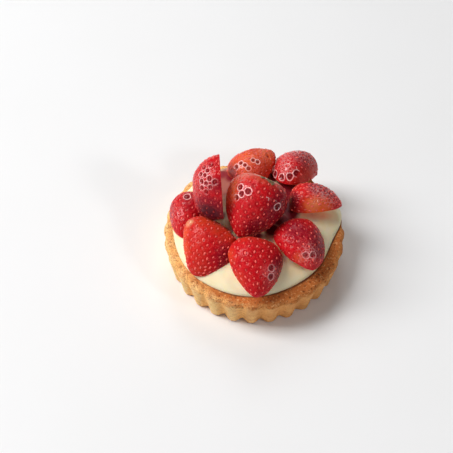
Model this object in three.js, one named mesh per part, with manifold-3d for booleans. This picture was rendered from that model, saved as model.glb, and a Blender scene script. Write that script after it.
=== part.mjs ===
// Strawberry tart: a fluted pastry case, a mound of custard cream and nine strawberries,
// one whole and eight halved. Millimetres, +Z up, origin on the table under the middle.

import * as THREE from 'three';
import { mergeVertices } from 'three/addons/utils/BufferGeometryUtils.js';
import Module from 'manifold-3d';

const wasm = await Module();
wasm.setup();

// ---------------------------------------------------------------- driving sizes

// Air left between pieces that lie against each other.
const CLEARANCE = 0.3;

const CASE = {
  baseRadius: 42, // over the flute ridges, at the table
  rimRadius: 45, // over the flute ridges, at the widest
  height: 20.3,
  baseChamfer: 0.9, // pastry edge where the tin's wall meets its floor
  shoulderHeight: 16.6, // where the wall starts to roll over into the rim
  rimRoll: 3.2, // width of that roll
  rimWidestDrop: 1.5, // the widest ring, below the top
  rimBevelDrop: 0.5, // the ring where the roll turns level, below the top
  rimBevelShare: 0.28, // how far in that ring stands, as a share of the roll
  sagWaves: [[3, 0.16, 0.7], [5, 0.11, 2.1], [11, 0.08, 0]], // hand-baked unevenness of the rim
  flutes: 28,
  fluteTurn: THREE.MathUtils.degToRad(-2.1), // of the first ridge, from -Y towards +X
  fluteDepthBase: 2.6,
  fluteDepthRim: 0.9,
  fluteSharpness: 1.5, // above 1, valleys are narrower than ridges
  fluteFade: 1, // height over which the flutes die out below the top
  stepsPerFlute: 6,
  bedRadius: 34, // the hollow that the cream fills
  bedHeight: 11,
};

const CREAM = {
  radius: 39.2,
  offset: new THREE.Vector2(-1.2, 0.8), // the mound isn't quite central
  rise: 9, // crown above the pastry rim
  crownPower: 2.4, // flatness of the top
  edgePower: 0.625, // steepness of the edge
  ripples: [[3, 0.35, 1.2], [7, 0.2, 0]], // of the foot's outline
  rows: 9,
  steps: 90,
  // Cream pushed out over the rim under the right-hand half.
  bulge: { reach: 6, heading: THREE.MathUtils.degToRad(12), spread: THREE.MathUtils.degToRad(17) },
};

const BERRY = {
  widest: 0.32, // share of the length, from the cut-off hull to the widest ring
  tipRoundness: 1.4,
  shoulderPower: 2.2,
  bendPower: 1.5, // how late the tip's curl sets in
  rows: 11,
  rowBias: 1.15, // above 1, draws the rows back from the tip
  sides: 34,
};

// Each berry: at = widest ring's middle in plan, lift = its height over the cream there,
// heading = compass of the tip from +X, pitch = tip up, roll = skin side away from upright,
// depth = cut face to skin, bend = sideways curl of the tip, fullness = how long it stays wide,
// hull = width of the flat hull end as a share of the widest ring.
const WHOLE_BERRY = {
  name: 'berry_centre', at: [1, 2.9], lift: 11.8, heading: -116, pitch: -30, roll: 0,
  length: 30.4, width: 29.5, depth: 14.2, bend: -0.8, fullness: 1.59, hull: 0.62,
};

const HALF_BERRIES = [
  {
    name: 'half_front', at: [-0.1, -24], lift: 1.2, heading: -98, pitch: -5, roll: -20,
    length: 27.6, width: 26.8, depth: 11.2, bend: 2.4, fullness: 1.69, hull: 0.62,
  },
  {
    name: 'half_front_left', at: [-20.6, -12.5], lift: 0.3, heading: -128, pitch: -15, roll: -12,
    length: 27.2, width: 30.2, depth: 9.2, bend: 3.1, fullness: 1.54, hull: 0.35,
  },
  {
    name: 'half_front_right', at: [20.6, -12.4], lift: 0.3, heading: -74, pitch: 3, roll: -20,
    length: 26.8, width: 24.8, depth: 10.8, bend: 1, fullness: 1.81, hull: 0.66,
  },
  {
    name: 'half_right', at: [25.5, 7.6], lift: 0.6, heading: 0.4, pitch: 1.7, roll: -34,
    length: 26, width: 19, depth: 12.2, bend: 0.4, fullness: 1.89, hull: 0.54,
  },
  {
    name: 'half_back_right', at: [22.2, 28.4], lift: 3.1, heading: 141, pitch: -16, roll: 24,
    length: 24.8, width: 26.6, depth: 12.8, bend: -3, fullness: 1.6, hull: 0.2,
  },
  {
    name: 'half_back', at: [-2.4, 29], lift: 0.9, heading: 37, pitch: 10, roll: -14,
    length: 26, width: 22.6, depth: 11.4, bend: 1.2, fullness: 1.69, hull: 0.62,
  },
  {
    name: 'half_back_left', at: [-15.7, 5.1], lift: 13, heading: 96, pitch: 54.5, roll: -93.6,
    length: 29.5, width: 26.4, depth: 13.7, bend: -1.5, fullness: 3, hull: 0.77,
  },
  {
    name: 'half_left', at: [-31.8, 8.1], lift: -2, heading: -101, pitch: 4, roll: 14,
    length: 25.6, width: 19.6, depth: 10, bend: 0.2, fullness: 1.58, hull: 0.6,
  },
];

// ---------------------------------------------------------------- finishes

const pastryFinish = new THREE.MeshStandardMaterial({ color: 0xc98d4b, roughness: 0.85, metalness: 0 });
const creamFinish = new THREE.MeshStandardMaterial({ color: 0xf1e6bd, roughness: 0.4, metalness: 0 });
const berryFinish = new THREE.MeshStandardMaterial({ color: 0xb3121a, roughness: 0.2, metalness: 0 });

// ---------------------------------------------------------------- solids and meshes

/** The closed solid of a geometry, its shared corners joined. */
function toSolid(geometry) {
  const bare = geometry.clone();
  bare.deleteAttribute('normal');
  bare.deleteAttribute('uv');
  const merged = mergeVertices(bare, 1e-4);
  return new wasm.Manifold(new wasm.Mesh({
    numProp: 3,
    vertProperties: new Float32Array(merged.attributes.position.array),
    triVerts: new Uint32Array(merged.index.array),
  }));
}

/** The geometry of a solid, each facet with its own normal. */
function toGeometry(solid) {
  const cut = solid.getMesh();
  const indexed = new THREE.BufferGeometry();
  indexed.setAttribute('position', new THREE.Float32BufferAttribute(cut.vertProperties, 3));
  indexed.setIndex(Array.from(cut.triVerts));
  const faceted = indexed.toNonIndexed();
  faceted.computeVertexNormals();
  return faceted;
}

/** The largest body of a solid, without the crumbs that cutting leaves. */
function largestBody(solid) {
  return solid.decompose().reduce((best, body) => (body.volume() > best.volume() ? body : best));
}

/** Moves every corner of a geometry by a function of its place. */
function reshape(geometry, move) {
  const position = geometry.attributes.position;
  const corner = new THREE.Vector3();
  for (let i = 0; i < position.count; i += 1) {
    corner.fromBufferAttribute(position, i);
    move(corner);
    position.setXYZ(i, corner.x, corner.y, corner.z);
  }
  geometry.computeVertexNormals();
  return geometry;
}

/** The sum of waves round a turn, each given by its count, size and start. */
function waves(list, angle) {
  return list.reduce((sum, [count, size, start]) => sum + size * Math.sin(count * angle + start), 0);
}

/** A turned body about +Z from points of radius and height. */
function turned(profile, steps) {
  const points = profile.map(([radius, height]) => new THREE.Vector2(radius, height));
  return new THREE.LatheGeometry(points, steps).rotateX(Math.PI / 2);
}

// ---------------------------------------------------------------- pastry case

/** How far the wall stands in from the ridges, from 0 on a ridge to 1 in a valley. */
function fluteValley(angle) {
  const turn = angle + Math.PI / 2 - CASE.fluteTurn;
  const wave = 0.5 - 0.5 * Math.cos(CASE.flutes * turn);
  return wave ** CASE.fluteSharpness;
}

/** How far the rim's top sags, in millimetres, never above zero. */
function rimSag(angle) {
  const crest = CASE.sagWaves.reduce((sum, [, size]) => sum + size, 0);
  return waves(CASE.sagWaves, angle) - crest;
}

function caseGeometry() {
  const wallSlope = (CASE.rimRadius - CASE.baseRadius) / CASE.height;
  const shoulderRadius = CASE.baseRadius + wallSlope * CASE.shoulderHeight;
  const profile = [
    [0, 0],
    [CASE.baseRadius - CASE.baseChamfer - CASE.fluteDepthBase, 0],
    [CASE.baseRadius - CASE.baseChamfer, 0],
    [CASE.baseRadius, CASE.baseChamfer],
    [shoulderRadius, CASE.shoulderHeight],
    [CASE.rimRadius, CASE.height - CASE.rimWidestDrop],
    [CASE.rimRadius - CASE.rimBevelShare * CASE.rimRoll, CASE.height - CASE.rimBevelDrop],
    [CASE.rimRadius - CASE.rimRoll, CASE.height],
    [CASE.bedRadius, CASE.height],
    [CASE.bedRadius, CASE.bedHeight],
    [0, CASE.bedHeight],
  ];
  const wallFoot = CASE.baseRadius - CASE.baseChamfer - 0.5 * CASE.fluteDepthBase;
  const blank = turned(profile, CASE.flutes * CASE.stepsPerFlute);
  return reshape(blank, (corner) => {
    const radius = Math.hypot(corner.x, corner.y);
    if (radius < wallFoot) return;
    const angle = Math.atan2(corner.y, corner.x);
    const climb = Math.min(corner.z / CASE.shoulderHeight, 1);
    const fade = Math.min((CASE.height - corner.z) / CASE.fluteFade, 1);
    const depth = fade * THREE.MathUtils.lerp(CASE.fluteDepthBase, CASE.fluteDepthRim, climb);
    const scale = (radius - depth * fluteValley(angle)) / radius;
    corner.x *= scale;
    corner.y *= scale;
    if (corner.z > CASE.shoulderHeight) corner.z += rimSag(angle);
  });
}

// ---------------------------------------------------------------- cream

/** Radius of the mound's foot at an angle about its own middle. */
function creamReach(angle) {
  const { reach, heading, spread } = CREAM.bulge;
  const away = Math.atan2(Math.sin(angle - heading), Math.cos(angle - heading)) / spread;
  return CREAM.radius + waves(CREAM.ripples, angle) + reach * Math.exp(-away * away);
}

/** Height of the mound over its foot at a share of its reach. */
function creamRise(share) {
  return CREAM.rise * Math.max(0, 1 - share ** CREAM.crownPower) ** CREAM.edgePower;
}

/** Height of the cream's surface over a point of the plan. */
function creamHeight(x, y) {
  const dx = x - CREAM.offset.x;
  const dy = y - CREAM.offset.y;
  const share = Math.min(Math.hypot(dx, dy) / creamReach(Math.atan2(dy, dx)), 1);
  return CASE.height + CLEARANCE + creamRise(share);
}

function creamGeometry() {
  const foot = CASE.height + CLEARANCE;
  const plugRadius = CASE.bedRadius - CLEARANCE;
  const profile = [[0, CASE.bedHeight + CLEARANCE], [plugRadius, CASE.bedHeight + CLEARANCE], [plugRadius, foot]];
  for (let row = 0; row <= CREAM.rows; row += 1) {
    // Rows crowd towards the edge, where the mound turns down.
    const share = Math.cos((0.5 * Math.PI * row) / CREAM.rows);
    profile.push([CREAM.radius * share, foot + creamRise(share)]);
  }
  profile[profile.length - 1][0] = 0;
  return reshape(turned(profile, CREAM.steps), (corner) => {
    const radius = Math.hypot(corner.x, corner.y);
    const inPlug = corner.z < foot + 1e-3 && radius < plugRadius + 1e-3;
    if (inPlug) return;
    const scale = creamReach(Math.atan2(corner.y, corner.x)) / CREAM.radius;
    corner.x = corner.x * scale + CREAM.offset.x;
    corner.y = corner.y * scale + CREAM.offset.y;
  });
}

// ---------------------------------------------------------------- strawberries

/** Half-width of a berry at a share of its length, as a share of its widest. */
function berryGirth(share, { fullness, hull }) {
  if (share < BERRY.widest) {
    const back = (BERRY.widest - share) / BERRY.widest;
    return Math.sqrt(1 - (1 - hull ** 2) * back ** BERRY.shoulderPower);
  }
  const out = (share - BERRY.widest) / (1 - BERRY.widest);
  return Math.max(0, 1 - out ** fullness) ** (1 / BERRY.tipRoundness);
}

/** A berry along +X from its hull end to its tip, grown all round by a margin. */
function berryGeometry(berry, margin = 0) {
  const length = berry.length + 2 * margin;
  const profile = [[0, -BERRY.widest * length]];
  for (let row = 0; row <= BERRY.rows; row += 1) {
    // Rows crowd towards the tip, where the outline turns fastest.
    const share = Math.sin((0.5 * Math.PI * row) / BERRY.rows) ** BERRY.rowBias;
    profile.push([berryGirth(share, berry), (share - BERRY.widest) * length]);
  }
  profile[profile.length - 1][0] = 0;
  const blank = turned(profile, BERRY.sides).rotateY(Math.PI / 2);
  return reshape(blank, (corner) => {
    const out = Math.max(corner.x / ((1 - BERRY.widest) * length), 0);
    corner.y = corner.y * (0.5 * berry.width + margin) + berry.bend * out ** BERRY.bendPower;
    corner.z *= berry.depth + margin;
  });
}

/** The slab below a halved berry's cut face, lowered by a margin. */
function belowCut(berry, margin = 0) {
  const side = 4 * berry.length;
  return new THREE.BoxGeometry(side, side, side).translate(0, 0, -0.5 * side - margin);
}

/** Where a berry lies on the cream. */
function berryPlace(berry) {
  const [x, y] = berry.at;
  const turns = [berry.roll, -berry.pitch, berry.heading].map(THREE.MathUtils.degToRad);
  return {
    position: new THREE.Vector3(x, y, creamHeight(x, y) + berry.lift),
    rotation: new THREE.Euler(...turns, 'ZYX'),
  };
}

/** A berry's solid in its own frame, halved or whole, grown by a margin. */
function berrySolid(berry, margin = 0) {
  const full = toSolid(berryGeometry(berry, margin));
  return berry === WHOLE_BERRY ? full : full.subtract(toSolid(belowCut(berry, margin)));
}

/** The dent that a berry presses into the cream. */
function berryPocket(berry) {
  const { position, rotation } = berryPlace(berry);
  const place = new THREE.Matrix4().makeRotationFromEuler(rotation).setPosition(position);
  return toSolid(toGeometry(berrySolid(berry, CLEARANCE)).applyMatrix4(place));
}

// ---------------------------------------------------------------- the tart

function namedMesh(name, geometry, finish) {
  const mesh = new THREE.Mesh(geometry, finish);
  mesh.name = name;
  return mesh;
}

function berryMesh(berry) {
  const mesh = namedMesh(berry.name, toGeometry(berrySolid(berry)), berryFinish);
  const { position, rotation } = berryPlace(berry);
  mesh.position.copy(position);
  mesh.rotation.copy(rotation);
  return mesh;
}

const berries = [WHOLE_BERRY, ...HALF_BERRIES];
const cream = berries.reduce((mound, berry) => mound.subtract(berryPocket(berry)), toSolid(creamGeometry()));

const tart = new THREE.Group();
tart.name = 'strawberry_tart';
tart.add(namedMesh('pastry_case', toGeometry(toSolid(caseGeometry())), pastryFinish));
tart.add(namedMesh('cream', toGeometry(largestBody(cream)), creamFinish));
berries.forEach((berry) => tart.add(berryMesh(berry)));

export default tart;
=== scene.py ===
"""Dresses the strawberry tart: fluted pastry, custard cream and nine glazed strawberries.

Lengths are in millimetres until a mesh is made, and become metres there.
"""

from __future__ import annotations

import itertools
import logging
import math
from collections.abc import Sequence
from dataclasses import dataclass, field
from enum import Enum
from functools import cached_property
from typing import Any

import bpy
import numpy as np
from mathutils import Euler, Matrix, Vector


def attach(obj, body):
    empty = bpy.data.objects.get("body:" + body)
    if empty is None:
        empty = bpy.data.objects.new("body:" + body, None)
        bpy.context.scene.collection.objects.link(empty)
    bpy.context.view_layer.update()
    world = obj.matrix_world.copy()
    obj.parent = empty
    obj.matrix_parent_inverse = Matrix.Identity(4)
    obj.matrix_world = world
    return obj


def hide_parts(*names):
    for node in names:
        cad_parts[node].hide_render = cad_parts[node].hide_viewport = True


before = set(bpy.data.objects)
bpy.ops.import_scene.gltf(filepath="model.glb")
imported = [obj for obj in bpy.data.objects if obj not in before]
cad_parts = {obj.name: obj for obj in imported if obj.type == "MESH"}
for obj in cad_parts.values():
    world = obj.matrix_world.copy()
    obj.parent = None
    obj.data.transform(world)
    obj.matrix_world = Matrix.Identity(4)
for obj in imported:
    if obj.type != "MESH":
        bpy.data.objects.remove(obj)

MM = 0.001
BODY = "root"
FULL_TURN = 2.0 * math.pi
GOLDEN_TURN = math.pi * (3.0 - math.sqrt(5.0))
HEXAGON_SHARE = 0.866  # Area of a seed's hexagon over the square of the spacing.
NO_CREASE = 180.0
LOG = logging.getLogger("strawberry_tart")

END_POINTS = 60
SIDE_POINTS = 900
SEED_POINTS = 700
FIRST_SEED_TURNS = 6.28
PAST_DISC = 9.0
FIBRE_STRETCH = (0.5, 1.0, 1.0)
WALL_POINTS = 30
ROLL_POINTS = 24
TART_MIDDLE = (0.0, 0.0, 0.025)

HASH_WORD = np.uint64(0xFFFFFFFF)
HASH_AXES = (374761393, 668265263, 2246822519)
HASH_SEED = 40503
HASH_SALT = 2654435
HASH_ROUNDS = ((15, 2246822519), (13, 3266489917))
HASH_LAST_SHIFT = 16
SPOT_SALTS = (11, 12, 13)
SPOT_NUMBER_SALT = 14

Array = np.ndarray
Colour = tuple[float, float, float]
Triple = tuple[float, float, float]
Pair = tuple[float, float]
Layer = tuple[float, float, int]  # Height and width in millimetres, and salt.


class Slot(Enum):
    """Material slots of the part's record."""

    PASTRY = "pastry"
    CREAM = "cream"
    STRAWBERRY = "strawberry"


class Cut(Enum):
    """Whether a strawberry is whole or halved from hull to tip."""

    WHOLE = "whole"
    HALF = "half"


# ------------------------------------------------------------------ numbers


def ease(low: float, high: float, at: Array) -> Array:
    """Rises smoothly from 0 to 1.

    Args:
        low: Where the rise starts.
        high: Where it ends; below low, it falls instead.
        at: Places to read it at.

    Returns:
        One value for each place.
    """
    part = np.clip((at - low) / (high - low), 0.0, 1.0)
    return part * part * (3.0 - 2.0 * part)


def faded(gap: Array) -> Array:
    """Returns the strength of a soft-edged place at squared shares of its reach."""
    return np.exp(-(gap**1.5))


def unit(vectors: Array) -> Array:
    """Returns vectors at length one."""
    return vectors / np.maximum(np.linalg.norm(vectors, axis=-1, keepdims=True), 1e-12)


def evenly(line: Array, scale: Sequence[float], count: int) -> Array:
    """Spaces points evenly along a line.

    Args:
        line: Dense points of the line, one a row.
        scale: Millimetres to each column's unit.
        count: Points to return.

    Returns:
        The spaced points, both ends among them.
    """
    steps = np.linalg.norm(np.diff(line, axis=0) * np.asarray(scale), axis=1)
    walked = np.concatenate([[0.0], np.cumsum(steps)])
    wanted = np.linspace(0.0, walked[-1], count)
    return np.stack([np.interp(wanted, walked, column) for column in line.T], axis=1)


@dataclass(frozen=True)
class Grain:
    """Repeatable noise over points in millimetres.

    Attributes:
        seed: Tells one piece's noise from another's.
    """

    seed: int

    def dice(self, cells: Array, salt: int) -> Array:
        """Draws a number for each cell of a lattice.

        Args:
            cells: Whole-numbered cells, three columns.
            salt: Tells one draw of a cell from another.

        Returns:
            Numbers from 0 to 1.
        """
        key = cells.astype(np.int64).astype(np.uint64)
        on_x, on_y, on_z = (np.uint64(factor) for factor in HASH_AXES)
        start = np.uint64(self.seed * HASH_SEED + salt * HASH_SALT)
        mixed = (key[..., 0] * on_x + key[..., 1] * on_y + key[..., 2] * on_z + start) & HASH_WORD
        for shift, factor in HASH_ROUNDS:
            mixed = ((mixed ^ (mixed >> np.uint64(shift))) * np.uint64(factor)) & HASH_WORD
        return (mixed ^ (mixed >> np.uint64(HASH_LAST_SHIFT))).astype(float) / 2.0**32

    def value(self, points: Array, size: float, salt: int = 0) -> Array:
        """Reads smooth noise.

        Args:
            points: Places in millimetres, three columns.
            size: Width of its lumps in millimetres.
            salt: Tells one layer from another.

        Returns:
            Values from -1 to 1.
        """
        scaled = points / size
        base = np.floor(scaled)
        part = scaled - base
        eased = part**3 * (part * (part * 6.0 - 15.0) + 10.0)
        total = np.zeros(len(points))
        for corner in itertools.product((0.0, 1.0), repeat=3):
            weight = np.prod(np.where(np.array(corner) > 0.5, eased, 1.0 - eased), axis=1)
            total += weight * self.dice(base + np.array(corner), salt)
        return 2.0 * total - 1.0

    def layered(self, points: Array, size: float, layers: int) -> Array:
        """Reads noise with finer and fainter layers on top, each half the last."""
        total = np.zeros(len(points))
        for layer in range(layers):
            total += self.value(points, size / 2.0**layer, layer) / 2.0**layer
        return total

    def swell(self, points: Array, layers: Sequence[Layer]) -> Array:
        """Adds up layers of noise, in millimetres."""
        return sum(height * self.value(points, width, salt) for height, width, salt in layers)

    def spots(self, points: Array, size: float) -> tuple[Array, Array]:
        """Finds the nearest of some scattered spots.

        Args:
            points: Places in millimetres, three columns.
            size: Typical spacing of the spots in millimetres.

        Returns:
            The distance to the nearest spot, and that spot's own number from 0 to 1.
        """
        scaled = points / size
        base = np.floor(scaled)
        best = np.full(len(points), np.inf)
        own = np.zeros(len(points))
        for step in itertools.product((-1.0, 0.0, 1.0), repeat=3):
            cell = base + np.array(step)
            spot = cell + np.stack([self.dice(cell, salt) for salt in SPOT_SALTS], axis=1)
            gap = np.linalg.norm(scaled - spot, axis=1)
            nearer = gap < best
            best = np.where(nearer, gap, best)
            own = np.where(nearer, self.dice(cell, SPOT_NUMBER_SALT), own)
        return best * size, own


# ------------------------------------------------------------------- meshes


def quads(index: Array) -> Array:
    """Returns the four-cornered faces over a grid of corner numbers."""
    return np.stack(
        [index[:-1, :-1], index[:-1, 1:], index[1:, 1:], index[1:, :-1]], axis=-1
    ).reshape(-1, 4)


def fan(pole: int, ring: Array) -> Array:
    """Returns the three-cornered faces from one corner to a row of others."""
    return np.stack([np.full(len(ring) - 1, pole), ring[:-1], ring[1:]], axis=-1)


@dataclass
class Shell:
    """A closed surface under construction.

    Attributes:
        corners: Its corners in millimetres, three columns.
        faces: Arrays of three-cornered or four-cornered faces.
        values: Named numbers at the corners, read by its finish.
    """

    corners: Array
    faces: list[Array]
    values: dict[str, Array] = field(default_factory=dict)

    def volume(self) -> float:
        """Returns the enclosed volume in cubic millimetres, negative if inside out."""
        total = 0.0
        for block in self.faces:
            a = self.corners[block[:, 0]]
            for second in range(1, block.shape[1] - 1):
                b, c = self.corners[block[:, second]], self.corners[block[:, second + 1]]
                total += float(np.sum(a * np.cross(b, c))) / 6.0
        return total

    def build(self, name: str, crease: float = NO_CREASE) -> bpy.types.Object:
        """Makes the object.

        Args:
            name: The object's name.
            crease: Edges that turn by more degrees than this stay sharp.

        Returns:
            The object, linked to the scene.
        """
        if self.volume() < 0.0:
            self.faces = [block[:, ::-1] for block in self.faces]
        mesh = bpy.data.meshes.new(name)
        mesh.vertices.add(len(self.corners))
        mesh.vertices.foreach_set("co", (self.corners * MM).astype(np.float32).ravel())
        sides = np.concatenate([np.full(len(b), b.shape[1]) for b in self.faces])
        loops = np.concatenate([b.ravel() for b in self.faces])
        mesh.loops.add(len(loops))
        mesh.loops.foreach_set("vertex_index", loops.astype(np.int32))
        mesh.polygons.add(len(sides))
        starts = np.concatenate([[0], np.cumsum(sides)[:-1]])
        mesh.polygons.foreach_set("loop_start", starts.astype(np.int32))
        mesh.update(calc_edges=True)
        mesh.validate()
        mesh.shade_smooth()
        if crease < NO_CREASE:
            mesh.set_sharp_from_angle(angle=math.radians(crease))
        for key, numbers in self.values.items():
            layer = mesh.attributes.new(key, "FLOAT", "POINT")
            layer.data.foreach_set("value", numbers.astype(np.float32))
        made = bpy.data.objects.new(name, mesh)
        bpy.context.scene.collection.objects.link(made)
        return made


def around(steps: int) -> Array:
    """Returns evenly spaced angles over a full turn, the first at 0."""
    return FULL_TURN * np.arange(steps) / steps


def wrapped(index: Array) -> Array:
    """Returns a grid of corner numbers with its first column again at the end."""
    return np.concatenate([index, index[:, :1]], axis=1)


def present(piece: bpy.types.Object, material: bpy.types.Material) -> None:
    """Gives a piece its material, sets it on the tart's body and logs it."""
    piece.data.materials.append(material)
    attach(piece, BODY)
    LOG.info("%s: %d faces", piece.name, len(piece.data.polygons))


# ---------------------------------------------------------------- materials


class Line:
    """A shader socket that takes part in Python sums."""

    def __init__(self, recipe: Recipe, socket: bpy.types.NodeSocket | None) -> None:
        """Keeps the socket and the recipe that it belongs to."""
        self.recipe = recipe
        self.socket = socket

    def _math(self, operation: str, first: Line | float, second: Line | float) -> Line:
        """Adds one Math node."""
        return self.recipe.node("ShaderNodeMath", {"operation": operation}, {0: first, 1: second})

    def __add__(self, other: Line | float) -> Line:
        """Returns self + other."""
        return self._math("ADD", self, other)

    def __radd__(self, other: float) -> Line:
        """Returns other + self."""
        return self._math("ADD", other, self)

    def __sub__(self, other: Line | float) -> Line:
        """Returns self - other."""
        return self._math("SUBTRACT", self, other)

    def __rsub__(self, other: float) -> Line:
        """Returns other - self."""
        return self._math("SUBTRACT", other, self)

    def __mul__(self, other: Line | float) -> Line:
        """Returns self * other."""
        return self._math("MULTIPLY", self, other)

    def __rmul__(self, other: float) -> Line:
        """Returns other * self."""
        return self._math("MULTIPLY", other, self)

    def __pow__(self, other: float) -> Line:
        """Returns self to the power of other."""
        return self._math("POWER", self, other)

    def most(self, other: Line | float) -> Line:
        """Returns the larger of two values."""
        return self._math("MAXIMUM", self, other)

    def share(self, least: float, more: float) -> Line:
        """Returns least where the value is 0, and least + more where it is 1."""
        return self * more + least

    def wander(self, noise: Line, reach: float) -> Line:
        """Returns the value moved up and down by noise around a half."""
        return self + (noise - 0.5) * reach

    def rise(self, low: float, high: float) -> Line:
        """Rises smoothly from 0 to 1 between two values.

        Args:
            low: Value where it is 0.
            high: Value where it is 1; below low, it falls instead.

        Returns:
            The eased value, held to 0 and 1 outside.
        """
        if low > high:
            return 1.0 - self.rise(high, low)
        return self.recipe.node(
            "ShaderNodeMapRange",
            {"interpolation_type": "SMOOTHSTEP"},
            {"Value": self, "From Min": low, "From Max": high},
        )


@dataclass(frozen=True)
class Blend:
    """How a colour comes in as a mask rises.

    Attributes:
        low: Mask where it starts.
        high: Mask where it is full.
        wander: How far noise moves the mask.
        most: Share of the colour where it is full.
    """

    low: float
    high: float
    wander: float = 0.0
    most: float = 1.0


@dataclass(frozen=True)
class Texture:
    """Smooth noise in a material.

    Attributes:
        size: Width of its lumps in millimetres.
        detail: Finer layers on top.
        rough: Strength of those layers.
    """

    size: float
    detail: float = 2.0
    rough: float = 0.5


class Recipe:
    """The nodes of a material or a world under construction."""

    def __init__(self, owner: bpy.types.Material | bpy.types.World) -> None:
        """Turns the owner's nodes on and clears them."""
        owner.use_nodes = True
        self.owner = owner
        self.tree = owner.node_tree
        self.tree.nodes.clear()

    @classmethod
    def material(cls, name: str) -> Recipe:
        """Starts a new material."""
        return cls(bpy.data.materials.new(name))

    def node(
        self,
        kind: str,
        settings: dict[str, Any] | None = None,
        sockets: dict[str | int, Any] | None = None,
        output: str | int = 0,
    ) -> Line:
        """Adds a node.

        Args:
            kind: The node's type.
            settings: Its options, set first.
            sockets: Values or lines for its inputs.
            output: The output to return.

        Returns:
            That output as a line, which is empty for a node that ends the tree.
        """
        made = self.tree.nodes.new(kind)
        for key, value in (settings or {}).items():
            setattr(made, key, value)
        for key, value in (sockets or {}).items():
            socket = made.inputs[key]
            if isinstance(value, Line):
                self.tree.links.new(value.socket, socket)
            elif isinstance(value, tuple) and socket.type == "RGBA":
                socket.default_value = (*value, 1.0)
            else:
                socket.default_value = value
        return Line(self, made.outputs[output] if made.outputs else None)

    @cached_property
    def place(self) -> Line:
        """Returns the object's own coordinates, in metres."""
        return self.node("ShaderNodeTexCoord", output="Object")

    def value(self, name: str) -> Line:
        """Reads one of the mesh's named numbers."""
        return self.node("ShaderNodeAttribute", {"attribute_name": name}, output="Fac")

    def values(self, *names: str) -> list[Line]:
        """Reads several of the mesh's named numbers."""
        return [self.value(name) for name in names]

    def noise(self, texture: Texture) -> Line:
        """Adds smooth noise, from 0 to 1 around a half."""
        return self.node(
            "ShaderNodeTexNoise",
            {"noise_dimensions": "3D"},
            {
                "Vector": self.place,
                "Scale": 1.0 / (texture.size * MM),
                "Detail": texture.detail,
                "Roughness": texture.rough,
            },
            "Fac",
        )

    def cells(self, size: float, feature: str = "F1") -> Line:
        """Adds a pattern of scattered points.

        Args:
            size: Spacing of the points in millimetres.
            feature: What to measure, such as the distance to the nearest point.

        Returns:
            That distance, as a share of the spacing.
        """
        return self.node(
            "ShaderNodeTexVoronoi",
            {"feature": feature},
            {"Vector": self.place, "Scale": 1.0 / (size * MM)},
            "Distance",
        )

    def mix(self, share: Line | float, first: Line | Colour, second: Line | Colour) -> Line:
        """Mixes two colours.

        Args:
            share: How much of the second shows.
            first: Colour at 0.
            second: Colour at 1.

        Returns:
            The mixed colour.
        """
        return self.node(
            "ShaderNodeMix",
            {"data_type": "RGBA", "blend_type": "MIX"},
            {0: share, 6: first, 7: second},
            2,
        )

    def lay(
        self,
        under: Line | Colour,
        over: Line | Colour,
        mask: Line,
        blend: Blend,
        noise: Line | None = None,
        within: Line | None = None,
    ) -> Line:
        """Lays one colour over another where a mask rises.

        Args:
            under: The colour that is there.
            over: The colour that comes in.
            mask: Where it comes in.
            blend: How it comes in.
            noise: What makes its edge wander.
            within: A second mask that it is weakened by.

        Returns:
            The two colours together.
        """
        if noise is not None:
            mask = mask.wander(noise, blend.wander)
        share = mask.rise(blend.low, blend.high)
        if blend.most < 1.0:
            share = share * blend.most
        if within is not None:
            share = share * within
        return self.mix(share, under, over)

    def bump(self, height: Line, depth: float, normal: Line | None = None) -> Line:
        """Adds fine relief.

        Args:
            height: Height from 0 to 1.
            depth: Millimetres from 0 to 1.
            normal: Relief that this one lies on.

        Returns:
            The bumped normal.
        """
        sockets: dict[str | int, Any] = {"Height": height, "Distance": depth * MM, "Strength": 1.0}
        if normal is not None:
            sockets["Normal"] = normal
        return self.node("ShaderNodeBump", None, sockets)

    def close(self, kind: str, surface: Line) -> None:
        """Links what is made to an output node of a kind."""
        self.node(kind, None, {"Surface": surface})

    def finish(self, sockets: dict[str | int, Any]) -> bpy.types.Material:
        """Closes a material.

        Args:
            sockets: Values or lines of the Principled shader.

        Returns:
            The material.
        """
        surface = self.node("ShaderNodeBsdfPrincipled", None, sockets)
        self.close("ShaderNodeOutputMaterial", surface)
        return self.owner


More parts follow.
